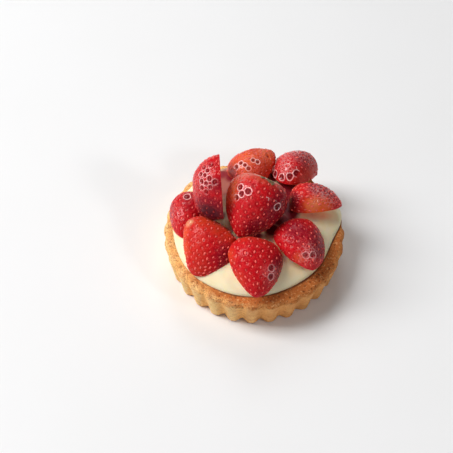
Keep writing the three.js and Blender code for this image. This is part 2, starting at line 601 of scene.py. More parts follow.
@dataclass(frozen=True)
class BerryFinish:
    """Glazed strawberry: skin, cut flesh and hull scar.

    Attributes:
        deep, bright, crimson, orange, shadowed: Skin, from its dimples to its ripest; deep also
            serves as painted shade in the bowls, and shadowed is near-black crimson painted shade.
        neck, scar: Pale skin round the hull, and the hull's mark.
        flesh, core: Cut flesh, and along its middle.
        fleck, ring_highlight, milky_highlight_colour: Light flecks, partly standing for painted
        glints; a painted highlight on the lips of the glaze rings; and a painted milky highlight
        between them.
        patches, mottle, flecks, neck_edge, fibres, hull: Noise of the colours.
        sheen: What varies the gloss.
        grain, grain_depth: Fine relief of the skin, and its millimetres.
        shade: Share of deep skin in a dimple, which is painted shade in the bowl, and in a patch,
            and what is taken off both.
        mottling, ripening, warming: How dark places, crimson and orange come in.
        ripe_cooling: What ripeness and painted shade take off the warmth.
        paling, flecking, painted_shading: How the neck and the flecks come in, and the near-black
            painted shade where ripe_and_shade passes 1.
        rind, coring, cutting, scarring: How flesh, core, cut face and hull mark come in.
        hull_spread, hull_toning: How the hull mark takes its colour.
        lace_size, lace: Mesh of the painted milky highlight, and where a strand ends and is full.
        milky_highlight: Share of the painted milky highlight between the strands, and what a strand
            adds.
        thick_glaze: Wetness where the glaze is thick.
        well_shade, ring_highlight_share: Painted shade inside a glaze ring, and the painted
            highlight on its lip.
        roughness, roughness_change: Of dry skin; change by glaze, by the cut and by noise.
        film, cut_dryness: Least weight of the glaze, and what the cut face lacks of it.
    """

    deep: Colour = (0.36, 0.003, 0.009)
    bright: Colour = (0.58, 0.007, 0.013)
    crimson: Colour = (0.27, 0.005, 0.016)
    orange: Colour = (0.82, 0.12, 0.020)
    neck: Colour = (0.80, 0.50, 0.26)
    flesh: Colour = (0.88, 0.22, 0.14)
    core: Colour = (0.92, 0.66, 0.50)
    scar: Colour = (0.82, 0.66, 0.38)
    shadowed: Colour = (0.085, 0.003, 0.010)
    fleck: Colour = (0.80, 0.09, 0.075)
    ring_highlight: Colour = (0.98, 0.58, 0.57)
    milky_highlight_colour: Colour = (0.78, 0.38, 0.37)

    patches: Texture = Texture(6.0, 3.0)
    mottle: Texture = Texture(1.7, 3.0)
    flecks: Texture = Texture(0.75)
    neck_edge: Texture = Texture(2.0)
    fibres: Texture = Texture(0.9, 3.0)
    hull: Texture = Texture(1.3, 3.0)
    sheen: Texture = Texture(3.0)
    grain: Texture = Texture(0.5)
    grain_depth: float = 0.06

    shade: Triple = (0.75, 0.3, 0.1)
    mottling: Blend = Blend(0.5, 0.34, most=0.5)
    ripening: Blend = Blend(0.1, 0.9, wander=0.6)
    warming: Blend = Blend(0.05, 1.0, wander=0.5)
    ripe_cooling: float = 0.3
    paling: Blend = Blend(0.1, 1.0, wander=0.25)
    flecking: Blend = Blend(0.53, 0.66, most=0.42)
    painted_shading: Blend = Blend(1.0, 1.9, wander=0.4)
    rind: Blend = Blend(-0.45, 2.45, wander=1.5)
    coring: Blend = Blend(0.35, 0.8, wander=0.5)
    cutting: Blend = Blend(0.3, 0.7)
    scarring: Blend = Blend(0.25, 0.8, wander=0.5)
    hull_spread: float = 0.3
    hull_toning: Blend = Blend(0.45, 0.95)

    lace_size: float = 1.5
    lace: Pair = (0.15, 0.02)
    milky_highlight: Pair = (0.06, 0.62)
    thick_glaze: float = 0.625
    well_shade: float = 0.62
    ring_highlight_share: Pair = (0.35, 1.1)
    roughness: float = 0.30
    roughness_change: float = 0.1
    film: float = 0.14
    cut_dryness: float = 0.4

    def build(self) -> bpy.types.Material:
        """Returns the material."""
        recipe = Recipe.material("glazed_strawberry")
        cut, scar, wet = recipe.values("cut", "scar", "wet")
        patches, flecks, fibres = (
            recipe.noise(texture) for texture in (self.patches, self.flecks, self.fibres)
        )
        skin = self._skin(recipe, patches, flecks)
        colour = recipe.lay(skin, self._inside(recipe, fibres), cut, self.cutting)
        toned = recipe.noise(self.hull) + scar * self.hull_spread
        hull = recipe.lay(self.core, self.scar, toned, self.hull_toning)
        colour = recipe.lay(colour, hull, scar, self.scarring, fibres)
        colour = self._glaze(recipe, colour, wet, flecks)
        change = self.roughness_change
        sheen = recipe.noise(self.sheen) - 0.5
        return recipe.finish(
            {
                "Base Color": colour,
                "Roughness": self.roughness - wet * change + cut * change + sheen * change,
                "Coat Weight": wet.share(self.film, 1.0 - self.film)
                * (1.0 - cut * self.cut_dryness),
                "Coat Roughness": 0.035,
                "Coat IOR": 1.38,
                "IOR": 1.36,
                "Specular IOR Level": 0.14,
                "Subsurface Weight": 0.22,
                "Subsurface Radius": (1.0, 0.22, 0.14),
                "Subsurface Scale": 2.2 * MM,
                "Normal": recipe.bump(recipe.noise(self.grain), self.grain_depth),
            }
        )

    def _skin(self, recipe: Recipe, patches: Line, flecks: Line) -> Line:
        """Colours the skin."""
        dimple, warm, pale, ripe_and_shade = recipe.values("dimple", "warm", "pale", "ripe_and_shade")
        in_dimples, in_patches, less = self.shade
        # Painted shade: the bowls round the seeds take the deep colour.
        depth = dimple * in_dimples + patches * in_patches - less
        skin = recipe.mix(depth, self.bright, self.deep)
        skin = recipe.lay(skin, self.deep, recipe.noise(self.mottle), self.mottling)
        skin = recipe.lay(skin, self.crimson, ripe_and_shade, self.ripening, patches)
        warmth = warm - ripe_and_shade * self.ripe_cooling
        skin = recipe.lay(skin, self.orange, warmth, self.warming, patches)
        skin = recipe.lay(skin, self.neck, pale, self.paling, recipe.noise(self.neck_edge))
        # Light flecks: partly the skin's own, partly painted glints.
        skin = recipe.lay(skin, self.fleck, flecks, self.flecking, within=1.0 - dimple)
        # Painted shade: where ripe_and_shade passes 1, the skin goes near-black.
        return recipe.lay(skin, self.shadowed, ripe_and_shade, self.painted_shading, patches)

    def _inside(self, recipe: Recipe, fibres: Line) -> Line:
        """Colours the cut face, from the skin's edge to the core."""
        rind, core = recipe.values("rind", "core")
        inside = recipe.lay(self.bright, self.flesh, rind, self.rind, fibres)
        return recipe.lay(inside, self.core, core, self.coring, fibres)

    def _glaze(self, recipe: Recipe, colour: Line, wet: Line, flecks: Line) -> Line:
        """Lays the glaze's painted light over a colour: a milky highlight, shade in the wells and a
        highlight on the ring lips.
        """
        ring, well, milky_highlight = recipe.values("ring", "well", "milky_highlight")
        lace = recipe.cells(self.lace_size, "DISTANCE_TO_EDGE").rise(*self.lace)
        # Painted milky highlight, laid as a lace of strands.
        colour = recipe.mix(milky_highlight * lace.share(*self.milky_highlight), colour, self.milky_highlight_colour)
        thick = wet.rise(0.0, self.thick_glaze)
        # Painted shade inside each glaze ring.
        colour = recipe.mix(well * thick * self.well_shade, colour, self.shadowed)
        # Painted highlight on the lips of the glaze rings.
        return recipe.mix(ring * thick * flecks.share(*self.ring_highlight_share), colour, self.ring_highlight)


@dataclass(frozen=True)
class SeedFinish:
    """Strawberry seeds, golden to reddish brown, under the glaze.

    Attributes:
        gold: The lightest seeds, as they look through the glaze.
        brown: The darkest seeds.
        grain: What varies each seed.
        sheen: What varies the gloss.
        browning: How brown comes in with a seed's tone.
    """

    gold: Colour = (0.93, 0.15, 0.125)
    brown: Colour = (0.36, 0.022, 0.020)
    grain: Texture = Texture(0.4)
    sheen: Texture = Texture(0.6)
    browning: Blend = Blend(0.35, 1.2, wander=0.4)

    def build(self) -> bpy.types.Material:
        """Returns the material."""
        recipe = Recipe.material("strawberry_seed")
        tone, grain = recipe.value("tone"), recipe.noise(self.grain)
        return recipe.finish(
            {
                "Base Color": recipe.lay(self.gold, self.brown, tone, self.browning, grain),
                "Roughness": 0.42 + recipe.noise(self.sheen) * 0.12,
                "Specular IOR Level": 0.2,
            }
        )


@dataclass(frozen=True)
class LeafFinish:
    """Remnant of green hull leaf, browned in patches.

    Attributes:
        green: The leaf where it is least dry.
        brown: Its dry patches.
        patches: Where it has dried.
        sheen: What varies the gloss.
        veins, vein_depth: Fine relief, and its millimetres.
        drying: How brown comes in over the patches.
    """

    green: Colour = (0.20, 0.17, 0.070)
    brown: Colour = (0.20, 0.080, 0.040)
    patches: Texture = Texture(0.8, 3.0)
    sheen: Texture = Texture(0.7)
    veins: Texture = Texture(0.6, 3.0)
    vein_depth: float = 0.08
    drying: Blend = Blend(0.42, 0.60)

    def build(self) -> bpy.types.Material:
        """Returns the material."""
        recipe = Recipe.material("hull_leaf")
        patches = recipe.noise(self.patches)
        return recipe.finish(
            {
                "Base Color": recipe.lay(self.green, self.brown, patches, self.drying),
                "Roughness": 0.42 + recipe.noise(self.sheen) * 0.15,
                "Subsurface Weight": 0.1,
                "Subsurface Scale": 0.5 * MM,
                "Normal": recipe.bump(recipe.noise(self.veins), self.vein_depth),
            }
        )


@dataclass(frozen=True)
class CreamFinish:
    """Smooth custard cream, tinted pink by berry juice, with painted shade between the berries and
    painted light reflected from them.

    Attributes:
        custard, shade: Most of it, and its slightly deeper patches.
        blush, mauve_shade, pool: Pink where juice has soaked in, partly painted light reflected
            from the berries; mauve-brown painted shade; and dark crimson painted shade in the gaps
            between the berries.
        patches, run, sheen: Noise of the colour, of the tinted places' edges and of the gloss.
        swell, swell_depth: Slow relief, and its millimetres.
        grain, grain_depth: Fine relief, and its millimetres.
        shading, bounce_tinting: How shade comes in, and pink close to a berry, which is painted
            reflected light.
        soaking, mauve_shading, shade_pooling: How the blush and the two painted shades come in on a
            tinted place.
    """

    custard: Colour = (0.955, 0.845, 0.585)
    shade: Colour = (0.94, 0.785, 0.485)
    blush: Colour = (0.90, 0.44, 0.26)
    mauve_shade: Colour = (0.36, 0.080, 0.058)
    pool: Colour = (0.24, 0.012, 0.022)
    patches: Texture = Texture(9.0)
    run: Texture = Texture(3.0, 3.0)
    sheen: Texture = Texture(4.0)
    swell: Texture = Texture(5.0)
    swell_depth: float = 0.12
    grain: Texture = Texture(0.5)
    grain_depth: float = 0.02
    shading: Blend = Blend(0.35, 0.75)
    bounce_tinting: Blend = Blend(0.25, 1.1, wander=0.4, most=0.5)
    soaking: Blend = Blend(0.2, 1.0, wander=0.4, most=0.8)
    mauve_shading: Blend = Blend(0.2, 0.8, wander=0.4, most=0.95)
    shade_pooling: Blend = Blend(0.2, 0.85, wander=0.4)

    def build(self) -> bpy.types.Material:
        """Returns the material."""
        recipe = Recipe.material("custard_cream")
        run = recipe.noise(self.run)
        patches = recipe.noise(self.patches)
        colour = recipe.lay(self.custard, self.shade, patches, self.shading)
        # Painted reflected light close to the berries, pink from juice, and painted shade in the
        # gaps.
        for name, juice, blend in (
            ("bounce_tint", self.blush, self.bounce_tinting),
            ("blush", self.blush, self.soaking),
            ("mauve_shade", self.mauve_shade, self.mauve_shading),
            ("pool", self.pool, self.shade_pooling),
        ):
            colour = recipe.lay(colour, juice, recipe.value(name), blend, run)
        smooth = recipe.bump(recipe.noise(self.swell), self.swell_depth)
        return recipe.finish(
            {
                "Base Color": colour,
                "Roughness": 0.44 + (recipe.noise(self.sheen) - 0.5) * 0.12,
                "Specular IOR Level": 0.22,
                "Subsurface Weight": 0.35,
                "Subsurface Radius": (1.0, 0.6, 0.25),
                "Subsurface Scale": 2.5 * MM,
                "Normal": recipe.bump(recipe.noise(self.grain), self.grain_depth, smooth),
            }
        )


@dataclass(frozen=True)
class PastryFinish:
    """Baked shortcrust: golden sides, an orange-brown porous rim and browned lower edges.

    Attributes:
        pale, gold, amber: Sides, from the lightest to the most browned; amber also serves as
            painted shade on the side away from the main light.
        baked, contact_shadow: Rim, and the painted contact shadow on it along the cream's foot.
        grain, fleck, dark: Dark grains, light grains, and the colour of pores and pits, which is
            painted shade in those hollows.
        mottle, crumb, fine: Noise, from slow changes of colour to dark grains.
        streaks, clods: Browned streaks of the sides, and clods of the rim.
        ridge_light: How much a flute's ridge adds to the pale colour.
        paling, ambering, streaking: How pale, amber and the streaks come in.
        streak_share: Their share, and what the bake_and_shade mask adds.
        rim_baking, browning: How baked comes in on the rim with the bake_and_shade mask, and the
            rim over the sides.
        brown_share, crumb_wander: Least mask of that, what the bake_and_shade mask adds, and its
            unevenness.
        clodding, graining, flecking: How clods, dark grains and light grains come in.
        clod_share, grain_share, fleck_share: Their shares, and what the rim adds.
        footing, contact_shadowing: How the lower edge browns, and how the painted contact shadow
            along the cream comes in.
        pore_size, pore: Spacing of the pores, and where one ends and is full.
        pore_share: Their share, what the rim adds, and what the bake_and_shade mask adds to that.
        pit_share: Painted shade in a pit, and what the bake_and_shade mask adds.
        crumb_depth, pore_depth: Relief of the crumb and of the pores, in millimetres.
    """

    pale: Colour = (0.99, 0.71, 0.34)
    gold: Colour = (0.97, 0.53, 0.185)
    amber: Colour = (0.74, 0.33, 0.105)
    baked: Colour = (0.53, 0.154, 0.037)
    grain: Colour = (0.42, 0.13, 0.036)
    fleck: Colour = (0.88, 0.52, 0.22)
    dark: Colour = (0.12, 0.034, 0.012)
    contact_shadow: Colour = (0.22, 0.075, 0.028)

    mottle: Texture = Texture(3.5, 4.0, 0.6)
    crumb: Texture = Texture(1.1, 3.0, 0.6)
    fine: Texture = Texture(0.6, 2.0, 0.6)
    streaks: Texture = Texture(2.3, 4.0, 0.65)
    clods: Texture = Texture(2.2, 3.0, 0.6)

    ridge_light: float = 0.6
    paling: Blend = Blend(0.0, 0.9, wander=1.6)
    ambering: Blend = Blend(0.62, 1.05, wander=0.8, most=0.95)
    streaking: Blend = Blend(0.50, 0.68)
    streak_share: Pair = (0.18, 0.22)
    rim_baking: Blend = Blend(-0.12, 0.66, wander=1.2)
    browning: Blend = Blend(0.12, 0.88, wander=0.9)
    brown_share: Pair = (0.8, 0.5)
    crumb_wander: float = 0.7
    clodding: Blend = Blend(0.50, 0.64)
    clod_share: Pair = (0.18, 0.32)
    footing: Blend = Blend(0.3, 1.1, wander=0.6, most=0.8)
    graining: Blend = Blend(0.5, 0.36)
    grain_share: Pair = (0.25, 0.55)
    flecking: Blend = Blend(0.54, 0.68)
    fleck_share: Pair = (0.3, 0.35)
    pore_size: float = 1.3
    pore: Pair = (0.24, 0.08)
    pore_share: Triple = (0.08, 0.3, 0.35)
    pit_share: Pair = (0.35, 0.5)
    contact_shadowing: Blend = Blend(0.25, 0.9, wander=0.8, most=0.85)
    crumb_depth: float = 0.30
    pore_depth: float = 0.25

    def build(self) -> bpy.types.Material:
        """Returns the material."""
        recipe = Recipe.material("baked_shortcrust")
        band, foot, pit, bake_and_shade, contact_shadow = recipe.values("band", "foot", "pit", "bake_and_shade", "contact_shadow")
        mottle, crumb = recipe.noise(self.mottle), recipe.noise(self.crumb)
        colour = self._crust(recipe, bake_and_shade, mottle, crumb)
        rim, dark_rim, light_rim = (
            band.share(*share) for share in (self.clod_share, self.grain_share, self.fleck_share)
        )
        clods, fine = recipe.noise(self.clods), recipe.noise(self.fine)
        colour = recipe.lay(colour, self.baked, clods, self.clodding, within=rim)
        colour = recipe.lay(colour, self.baked, foot, self.footing, crumb)
        colour = recipe.lay(colour, self.grain, fine, self.graining, within=dark_rim)
        colour = recipe.lay(colour, self.fleck, crumb, self.flecking, within=light_rim)
        least, on_rim, baking = self.pore_share
        pores = recipe.cells(self.pore_size).rise(*self.pore)
        pores = pores * (band * bake_and_shade.share(on_rim, baking) + least)
        # Painted shade: pits and pores take the dark colour.
        holes = pores.most(pit * bake_and_shade.share(*self.pit_share))
        colour = recipe.mix(holes, colour, self.dark)
        # Painted contact shadow along the cream's foot.
        colour = recipe.lay(colour, self.contact_shadow, contact_shadow, self.contact_shadowing, crumb)
        relief = recipe.bump(crumb, self.crumb_depth)
        return recipe.finish(
            {
                "Base Color": colour,
                "Roughness": 0.74 + (crumb - 0.5) * 0.3,
                "Specular IOR Level": 0.06,
                "Subsurface Weight": 0.08,
                "Subsurface Radius": (1.0, 0.5, 0.2),
                "Subsurface Scale": 1.0 * MM,
                "Normal": recipe.bump(1.0 - pores, self.pore_depth, relief),
            }
        )

    def _crust(self, recipe: Recipe, bake_and_shade: Line, mottle: Line, crumb: Line) -> Line:
        """Colours the sides and the rim."""
        ridge, brown = recipe.values("ridge", "brown")
        lit = ridge * self.ridge_light
        side = recipe.lay(self.gold, self.pale, lit, self.paling, mottle)
        # Painted shade beside real browning: the side away from the main light goes amber.
        side = recipe.lay(side, self.amber, bake_and_shade, self.ambering, mottle)
        streaks, browned = recipe.noise(self.streaks), bake_and_shade.share(*self.streak_share)
        side = recipe.lay(side, self.baked, streaks, self.streaking, within=browned)
        top = recipe.lay(self.gold, self.baked, bake_and_shade, self.rim_baking, mottle)
        browned = (brown * bake_and_shade.share(*self.brown_share)).wander(crumb, self.crumb_wander)
        return recipe.lay(side, top, browned, self.browning, mottle)


@dataclass(frozen=True)
class TableFinish:
    """Plain near-white table.

    Attributes:
        white: Most of it.
        grey: Its slightly darker patches.
        patches: Where those lie.
    """

    white: Colour = (0.86, 0.86, 0.865)
    grey: Colour = (0.84, 0.84, 0.84)
    patches: Texture = Texture(60.0)

    def build(self) -> bpy.types.Material:
        """Returns the material."""
        recipe = Recipe.material("pale_table")
        shade = recipe.mix(recipe.noise(self.patches), self.white, self.grey)
        return recipe.finish({"Base Color": shade, "Roughness": 0.55, "Specular IOR Level": 0.3})


# -------------------------------------------------------------------- cream


@dataclass(frozen=True)
class ShadeStain:
    """A place on the cream with painted shade in a gap between the berries, and with pink from
    juice and painted reflected light.

    Attributes:
        at: Its middle in plan.
        reach: Its half-widths along X and Y.
        blush: How much pink comes in, partly juice and partly painted light reflected from the
            berries.
        mauve_shade: Strength of the mauve-brown painted shade.
        pool: Strength of the dark crimson painted shade.
    """

    at: Pair
    reach: Pair
    blush: float = 0.0
    mauve_shade: float = 0.0
    pool: float = 0.0


@dataclass(frozen=True)
class Cream:
    """The custard mound and its plug in the pastry's hollow.

    Attributes:
        radius, offset: Of the mound's foot, and of its middle from the tart's.
        rise, crown_power, edge_power: Height, flatness and steepness of the mound.
        rim: Height of the pastry rim, with the gap above it.
        bulge: Reach, heading and spread of cream pushed out under the right half.
        plug_radius, plug_foot, plug_step: Of the part inside the case, up to its first turn.
        rows, spokes: Rings over the dome, and corners round each.
        crowding: How evenly they lie; below 1, they crowd less at the edge.
        tuck, tuck_gap: How far the edge dips, and how far the underside lies over it.
        swells, edge_share: Uneven layers, and the share of the reach where they fade.
        ripples: Height, count and start of the waves in the foot's outline.
        plan, cell: Half-width of the maps over the plan, and width of their cells.
        near, push: Width of the blur round a berry, and how far cream is pushed up there.
        bed_blurs: Widths of the blurs of the beds' outline and of their floor.
        bed_share: How deep inside a blurred bed the cream is pressed down.
        press: Gap between a bed's floor and its berry.
        sky: Height of the map's floor where there is no berry.
        crease: Degrees at which an edge stays sharp.
        shade_stains: Places between the berries with painted shade, and with pink from juice and
            painted reflected light.
        grain: The cream's own noise.
    """

    radius: float = 39.2
    offset: Pair = (-1.2, 0.8)
    rise: float = 9.0
    crown_power: float = 2.4
    edge_power: float = 0.625
    rim: float = 20.6
    bulge: Triple = (6.0, math.radians(12.0), math.radians(17.0))
    plug_radius: float = 33.7
    plug_foot: float = 11.3
    plug_step: float = 4.0
    rows: int = 100
    crowding: float = 0.9
    spokes: int = 480
    tuck: float = 0.35
    tuck_gap: float = 0.02
    swells: tuple[Layer, ...] = ((0.22, 14.0, 0), (0.08, 5.0, 3))
    edge_share: float = 0.9
    ripples: tuple[Triple, ...] = ((0.35, 3.0, 1.2), (0.2, 7.0, 0.0))
    plan: float = 48.0
    cell: float = 0.35
    near: float = 1.3
    push: float = 0.55
    bed_blurs: Pair = (0.5, 0.3)
    bed_share: float = 0.93
    press: float = 0.12
    sky: float = 60.0
    crease: float = 50.0
    shade_stains: tuple[ShadeStain, ...] = (
        # Painted shade in the gaps between the berries, with some pink from juice and painted
        # reflected light.
        ShadeStain((-20.5, 1.8), (8.0, 3.4), pool=1.0),
        ShadeStain((-14.6, 24.0), (4.6, 15.0), mauve_shade=1.0),
        ShadeStain((-15.0, 30.5), (4.4, 4.6), pool=0.75),
        ShadeStain((-10.0, 27.5), (5.2, 4.5), pool=1.0),
        ShadeStain((17.6, 6.5), (5.2, 11.0), pool=1.0),
        ShadeStain((12.6, -0.6), (6.0, 4.6), pool=1.0),
        ShadeStain((16.4, 14.6), (4.6, 4.6), pool=1.0),
        ShadeStain((17.6, 20.4), (9.0, 6.4), pool=1.0),
        ShadeStain((9.0, 28.0), (3.6, 5.6), pool=1.0),
        ShadeStain((8.0, -6.5), (4.5, 4.0), pool=1.0),
        ShadeStain((-2.0, -10.5), (8.0, 3.0), pool=1.0),
        ShadeStain((9.5, -12.5), (3.5, 3.5), blush=0.7),
        ShadeStain((29.0, 4.2), (10.0, 3.4), blush=1.0, mauve_shade=0.30),
    )
    grain: Grain = Grain(5)

    def reach(self, angle: Array) -> Array:
        """Returns the foot's radius at angles about the mound's own middle."""
        out, heading, spread = self.bulge
        away = np.arctan2(np.sin(angle - heading), np.cos(angle - heading)) / spread
        ripple = sum(high * np.sin(count * angle + start) for high, count, start in self.ripples)
        return self.radius + ripple + out * np.exp(-away * away)

    def lift(self, share: Array) -> Array:
        """Returns the mound's height over its foot at shares of its reach."""
        return self.rise * np.maximum(0.0, 1.0 - share**self.crown_power) ** self.edge_power

    def height(self, x: Array, y: Array) -> Array:
        """Returns the height of the smooth surface over points of the plan."""
        dx, dy = x - self.offset[0], y - self.offset[1]
        share = np.minimum(np.hypot(dx, dy) / self.reach(np.arctan2(dy, dx)), 1.0)
        return self.rim + self.lift(share)

    def shade_stained(self, x: Array, y: Array, trait: str) -> Array:
        """Reads one trait of the painted shade and juice tints over points of the plan."""
        total = np.zeros(len(x))
        for stain in self.shade_stains:
            (mid_x, mid_y), (reach_x, reach_y) = stain.at, stain.reach
            gap = ((x - mid_x) / reach_x) ** 2 + ((y - mid_y) / reach_y) ** 2
            total = np.maximum(total, getattr(stain, trait) * faded(gap))
        return total

    def _map(self, berries: Sequence[Array]) -> tuple[Array, Array]:
        """Maps where berries stand in the cream.

        Args:
            berries: Each berry's corners in millimetres.

        Returns:
            Grids over the plan: the berries' lowest height, and whether they pass through
            the cream's surface.
        """
        half = int(self.plan / self.cell)
        edges = (np.arange(-half, half + 1)) * self.cell
        centres = 0.5 * (edges[1:] + edges[:-1])
        gx, gy = np.meshgrid(centres, centres, indexing="ij")
        dome = self.height(gx.ravel(), gy.ravel()).reshape(gx.shape)
        lowest = np.full(gx.shape, self.sky)
        through = np.zeros(gx.shape)
        for corners in berries:
            low, high = np.full(gx.shape, np.inf), np.full(gx.shape, -np.inf)
            cell = np.floor(corners[:, :2] / self.cell).astype(int) + half
            np.minimum.at(low, (cell[:, 0], cell[:, 1]), corners[:, 2])
            np.maximum.at(high, (cell[:, 0], cell[:, 1]), corners[:, 2])
            crossing = (low < dome) & (high > dome)
            through = np.maximum(through, crossing)
            lowest = np.where(crossing, np.minimum(lowest, low), lowest)
        return lowest, through

    def _blur(self, grid: Array, width: float) -> Array:
        """Blurs a grid over the plan by a width in millimetres."""
        reach = int(3.0 * width / self.cell)
        steps = np.arange(-reach, reach + 1) * self.cell / width
        kernel = np.exp(-0.5 * steps * steps)
        kernel /= kernel.sum()
        for axis in (0, 1):
            grid = np.apply_along_axis(lambda line: np.convolve(line, kernel, "same"), axis, grid)
        return grid

    def _read(self, grid: Array, x: Array, y: Array) -> Array:
        """Reads a grid over the plan between its cells."""
        half = int(self.plan / self.cell)
        u, v = x / self.cell + half - 0.5, y / self.cell + half - 0.5
        i, j = np.floor(u).astype(int), np.floor(v).astype(int)
        a, b = u - i, v - j
        return (
            grid[i, j] * (1 - a) * (1 - b)
            + grid[i + 1, j] * a * (1 - b)
            + grid[i, j + 1] * (1 - a) * b
            + grid[i + 1, j + 1] * a * b
        )

    def shell(self, berries: Sequence[Array]) -> Shell:
        """Shapes the cream.

        Args:
            berries: Each berry's corners in millimetres.

        Returns:
            Its closed surface, with the berries' beds pressed in.
        """
        turn = around(self.spokes)
        x, y, share = self._spread(turn)
        z, pushed = self._heights(x, y, share, berries)
        dome = np.stack([x, y, z], axis=1)
        ring = np.stack([np.cos(turn), np.sin(turn)], axis=1)
        underside = [
            (self.plug_radius, self.rim - self.tuck + self.tuck_gap),
            (self.plug_radius, self.plug_foot + self.plug_step),
            (self.plug_radius, self.plug_foot),
            (0.5 * self.plug_radius, self.plug_foot),
        ]
        under = [np.column_stack([r * ring, np.full(self.spokes, h)]) for r, h in underside]
        base = np.array([[0.0, 0.0, self.plug_foot]])
        corners = np.concatenate([dome, *under, base])
        count = len(dome)
        index = np.arange(self.rows * self.spokes).reshape(self.rows, self.spokes)
        lower = count + np.arange(len(under) * self.spokes).reshape(len(under), self.spokes)
        grid = wrapped(np.concatenate([index, lower]))
        faces = [quads(grid), fan(count - 1, grid[0, ::-1]), fan(len(corners) - 1, grid[-1])]
        # Painted shade and juice tints from the places above, and painted reflected light close to
        # each berry.
        spots = {trait: self.shade_stained(x, y, trait) for trait in ("blush", "mauve_shade", "pool")}
        spots["bounce_tint"] = pushed
        hidden = np.zeros(len(corners) - count)
        values = {trait: np.concatenate([spot, hidden]) for trait, spot in spots.items()}
        return Shell(corners, faces, values)

    def _spread(self, turn: Array) -> tuple[Array, Array, Array]:
        """Sets out the dome's corners in plan, ring by ring, crowded towards the edge.

        Args:
            turn: Angles of the spokes.

        Returns:
            X, Y and share of the reach of each corner, the middle's last.
        """
        step = np.arange(1, self.rows + 1) / self.rows
        share = np.sin(0.5 * math.pi * step) ** self.crowding
        s, a = np.meshgrid(share, turn, indexing="ij")
        x = self.offset[0] + s * self.reach(a) * np.cos(a)
        y = self.offset[1] + s * self.reach(a) * np.sin(a)
        x, y = np.append(x.ravel(), self.offset[0]), np.append(y.ravel(), self.offset[1])
        return x, y, np.append(s.ravel(), 0.0)

    def _heights(
        self, x: Array, y: Array, share: Array, berries: Sequence[Array]
    ) -> tuple[Array, Array]:
        """Raises the dome, pushes it up round the berries and presses their beds in.

        Args:
            x: X of the dome's corners.
            y: Y of them.
            share: Their share of the mound's reach.
            berries: Each berry's corners in millimetres.

        Returns:
            Heights of the corners, and how close to a berry they are, from 0 to 1.
        """
        lowest, through = self._map(berries)
        flat = np.stack([x, y, np.zeros_like(x)], axis=1)
        body = ease(1.0, self.edge_share, share)
        pushed = self._read(self._blur(through, self.near), x, y)
        z = self.rim + self.lift(share)
        z = z + body * self.grain.swell(flat, self.swells)
        z = z + self.push * pushed * body
        outline, depth = self.bed_blurs
        inside = self._read(self._blur(through, outline), x, y) > self.bed_share
        bed = self._read(self._blur(lowest, depth), x, y) - self.press
        z = np.where(inside, np.minimum(z, bed), z)
        z = np.maximum(z, self.plug_foot + 1.0)
        outer = slice((self.rows - 1) * self.spokes, self.rows * self.spokes)
        z[outer] = self.rim - self.tuck
        return z, pushed

    def dress(self, berries: Sequence[Array], finish: CreamFinish) -> None:
        """Builds the cream and gives it its finish."""
        piece = self.shell(berries).build("custard_cream", self.crease)
        present(piece, finish.build())
        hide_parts("cream")


# ------------------------------------------------------------- strawberries


@dataclass(frozen=True)
class Mark:
    """A soft-edged place on a berry's skin.

    Attributes:
        share, turn: Its middle from hull to tip, and round the berry in degrees.
        reach: Its radius in millimetres.
        pale, warm, ripe_and_shade: How unripe and orange it is, and how crimson; above 1 it is
            painted shade that darkens to near-black.
        wet, milky_highlight: How thick the glaze is, and how strong the painted milky highlight on
            it is.
        scar: How far it takes the colour of the hull mark.
    """

    share: float
    turn: float
    reach: float
    pale: float = 0.0
    warm: float = 0.0
    ripe_and_shade: float = 0.0
    wet: float = 0.0
    milky_highlight: float = 0.0
    scar: float = 0.0


@dataclass(frozen=True)
class Seed:
    """The form of a strawberry's seeds, small drops that point to its tip.

    Attributes:
        size: Length, width and height in millimetres.
        spread, swing: How far sizes vary, as a share, and headings, in radians.
        rise: Of a seed's middle over the floor of its bowl, in millimetres.
        ends, bluntness: Where its ends lie along it, and the powers of its swelling.
        tone: Most that chance browns a seed, and the power of that chance.
        ripe_tone, ring_tone: Tone under crimson skin and under painted shade, and inside a glaze
            ring.
        rows, sides: Rings of corners along it, and corners round each.
    """

    size: Triple = (1.35, 0.38, 0.28)
    spread: float = 0.19
    swing: float = 0.25
    rise: float = 0.12
    ends: Pair = (-0.45, 0.58)
    bluntness: Pair = (0.8, 0.75)
    tone: Pair = (0.8, 1.3)
    ripe_tone: float = 0.6
    ring_tone: float = 1.4
    rows: int = 5
    sides: int = 8

    def drop(self) -> tuple[Array, list[Array]]:
        """Shapes one seed, as long, wide and high as one.

        Returns:
            Its corners, three columns, and its faces.
        """
        early, round_off = self.bluntness
        t = np.linspace(0.0, 1.0, self.rows + 2)[1:-1]
        swell = np.sin(math.pi * t**early) ** round_off
        angle = around(self.sides)
        ring_x = np.repeat(t + self.ends[0], self.sides)
        ring_y = np.outer(swell, np.cos(angle)).ravel()
        ring_z = np.outer(swell, np.sin(angle)).ravel()
        ends = [[place, 0.0, 0.0] for place in self.ends]
        corners = np.concatenate([np.stack([ring_x, ring_y, ring_z], axis=1), ends])
        count = self.rows * self.sides
        index = wrapped(np.arange(count).reshape(self.rows, self.sides))
        return corners, [quads(index), fan(count, index[0, ::-1]), fan(count + 1, index[-1])]


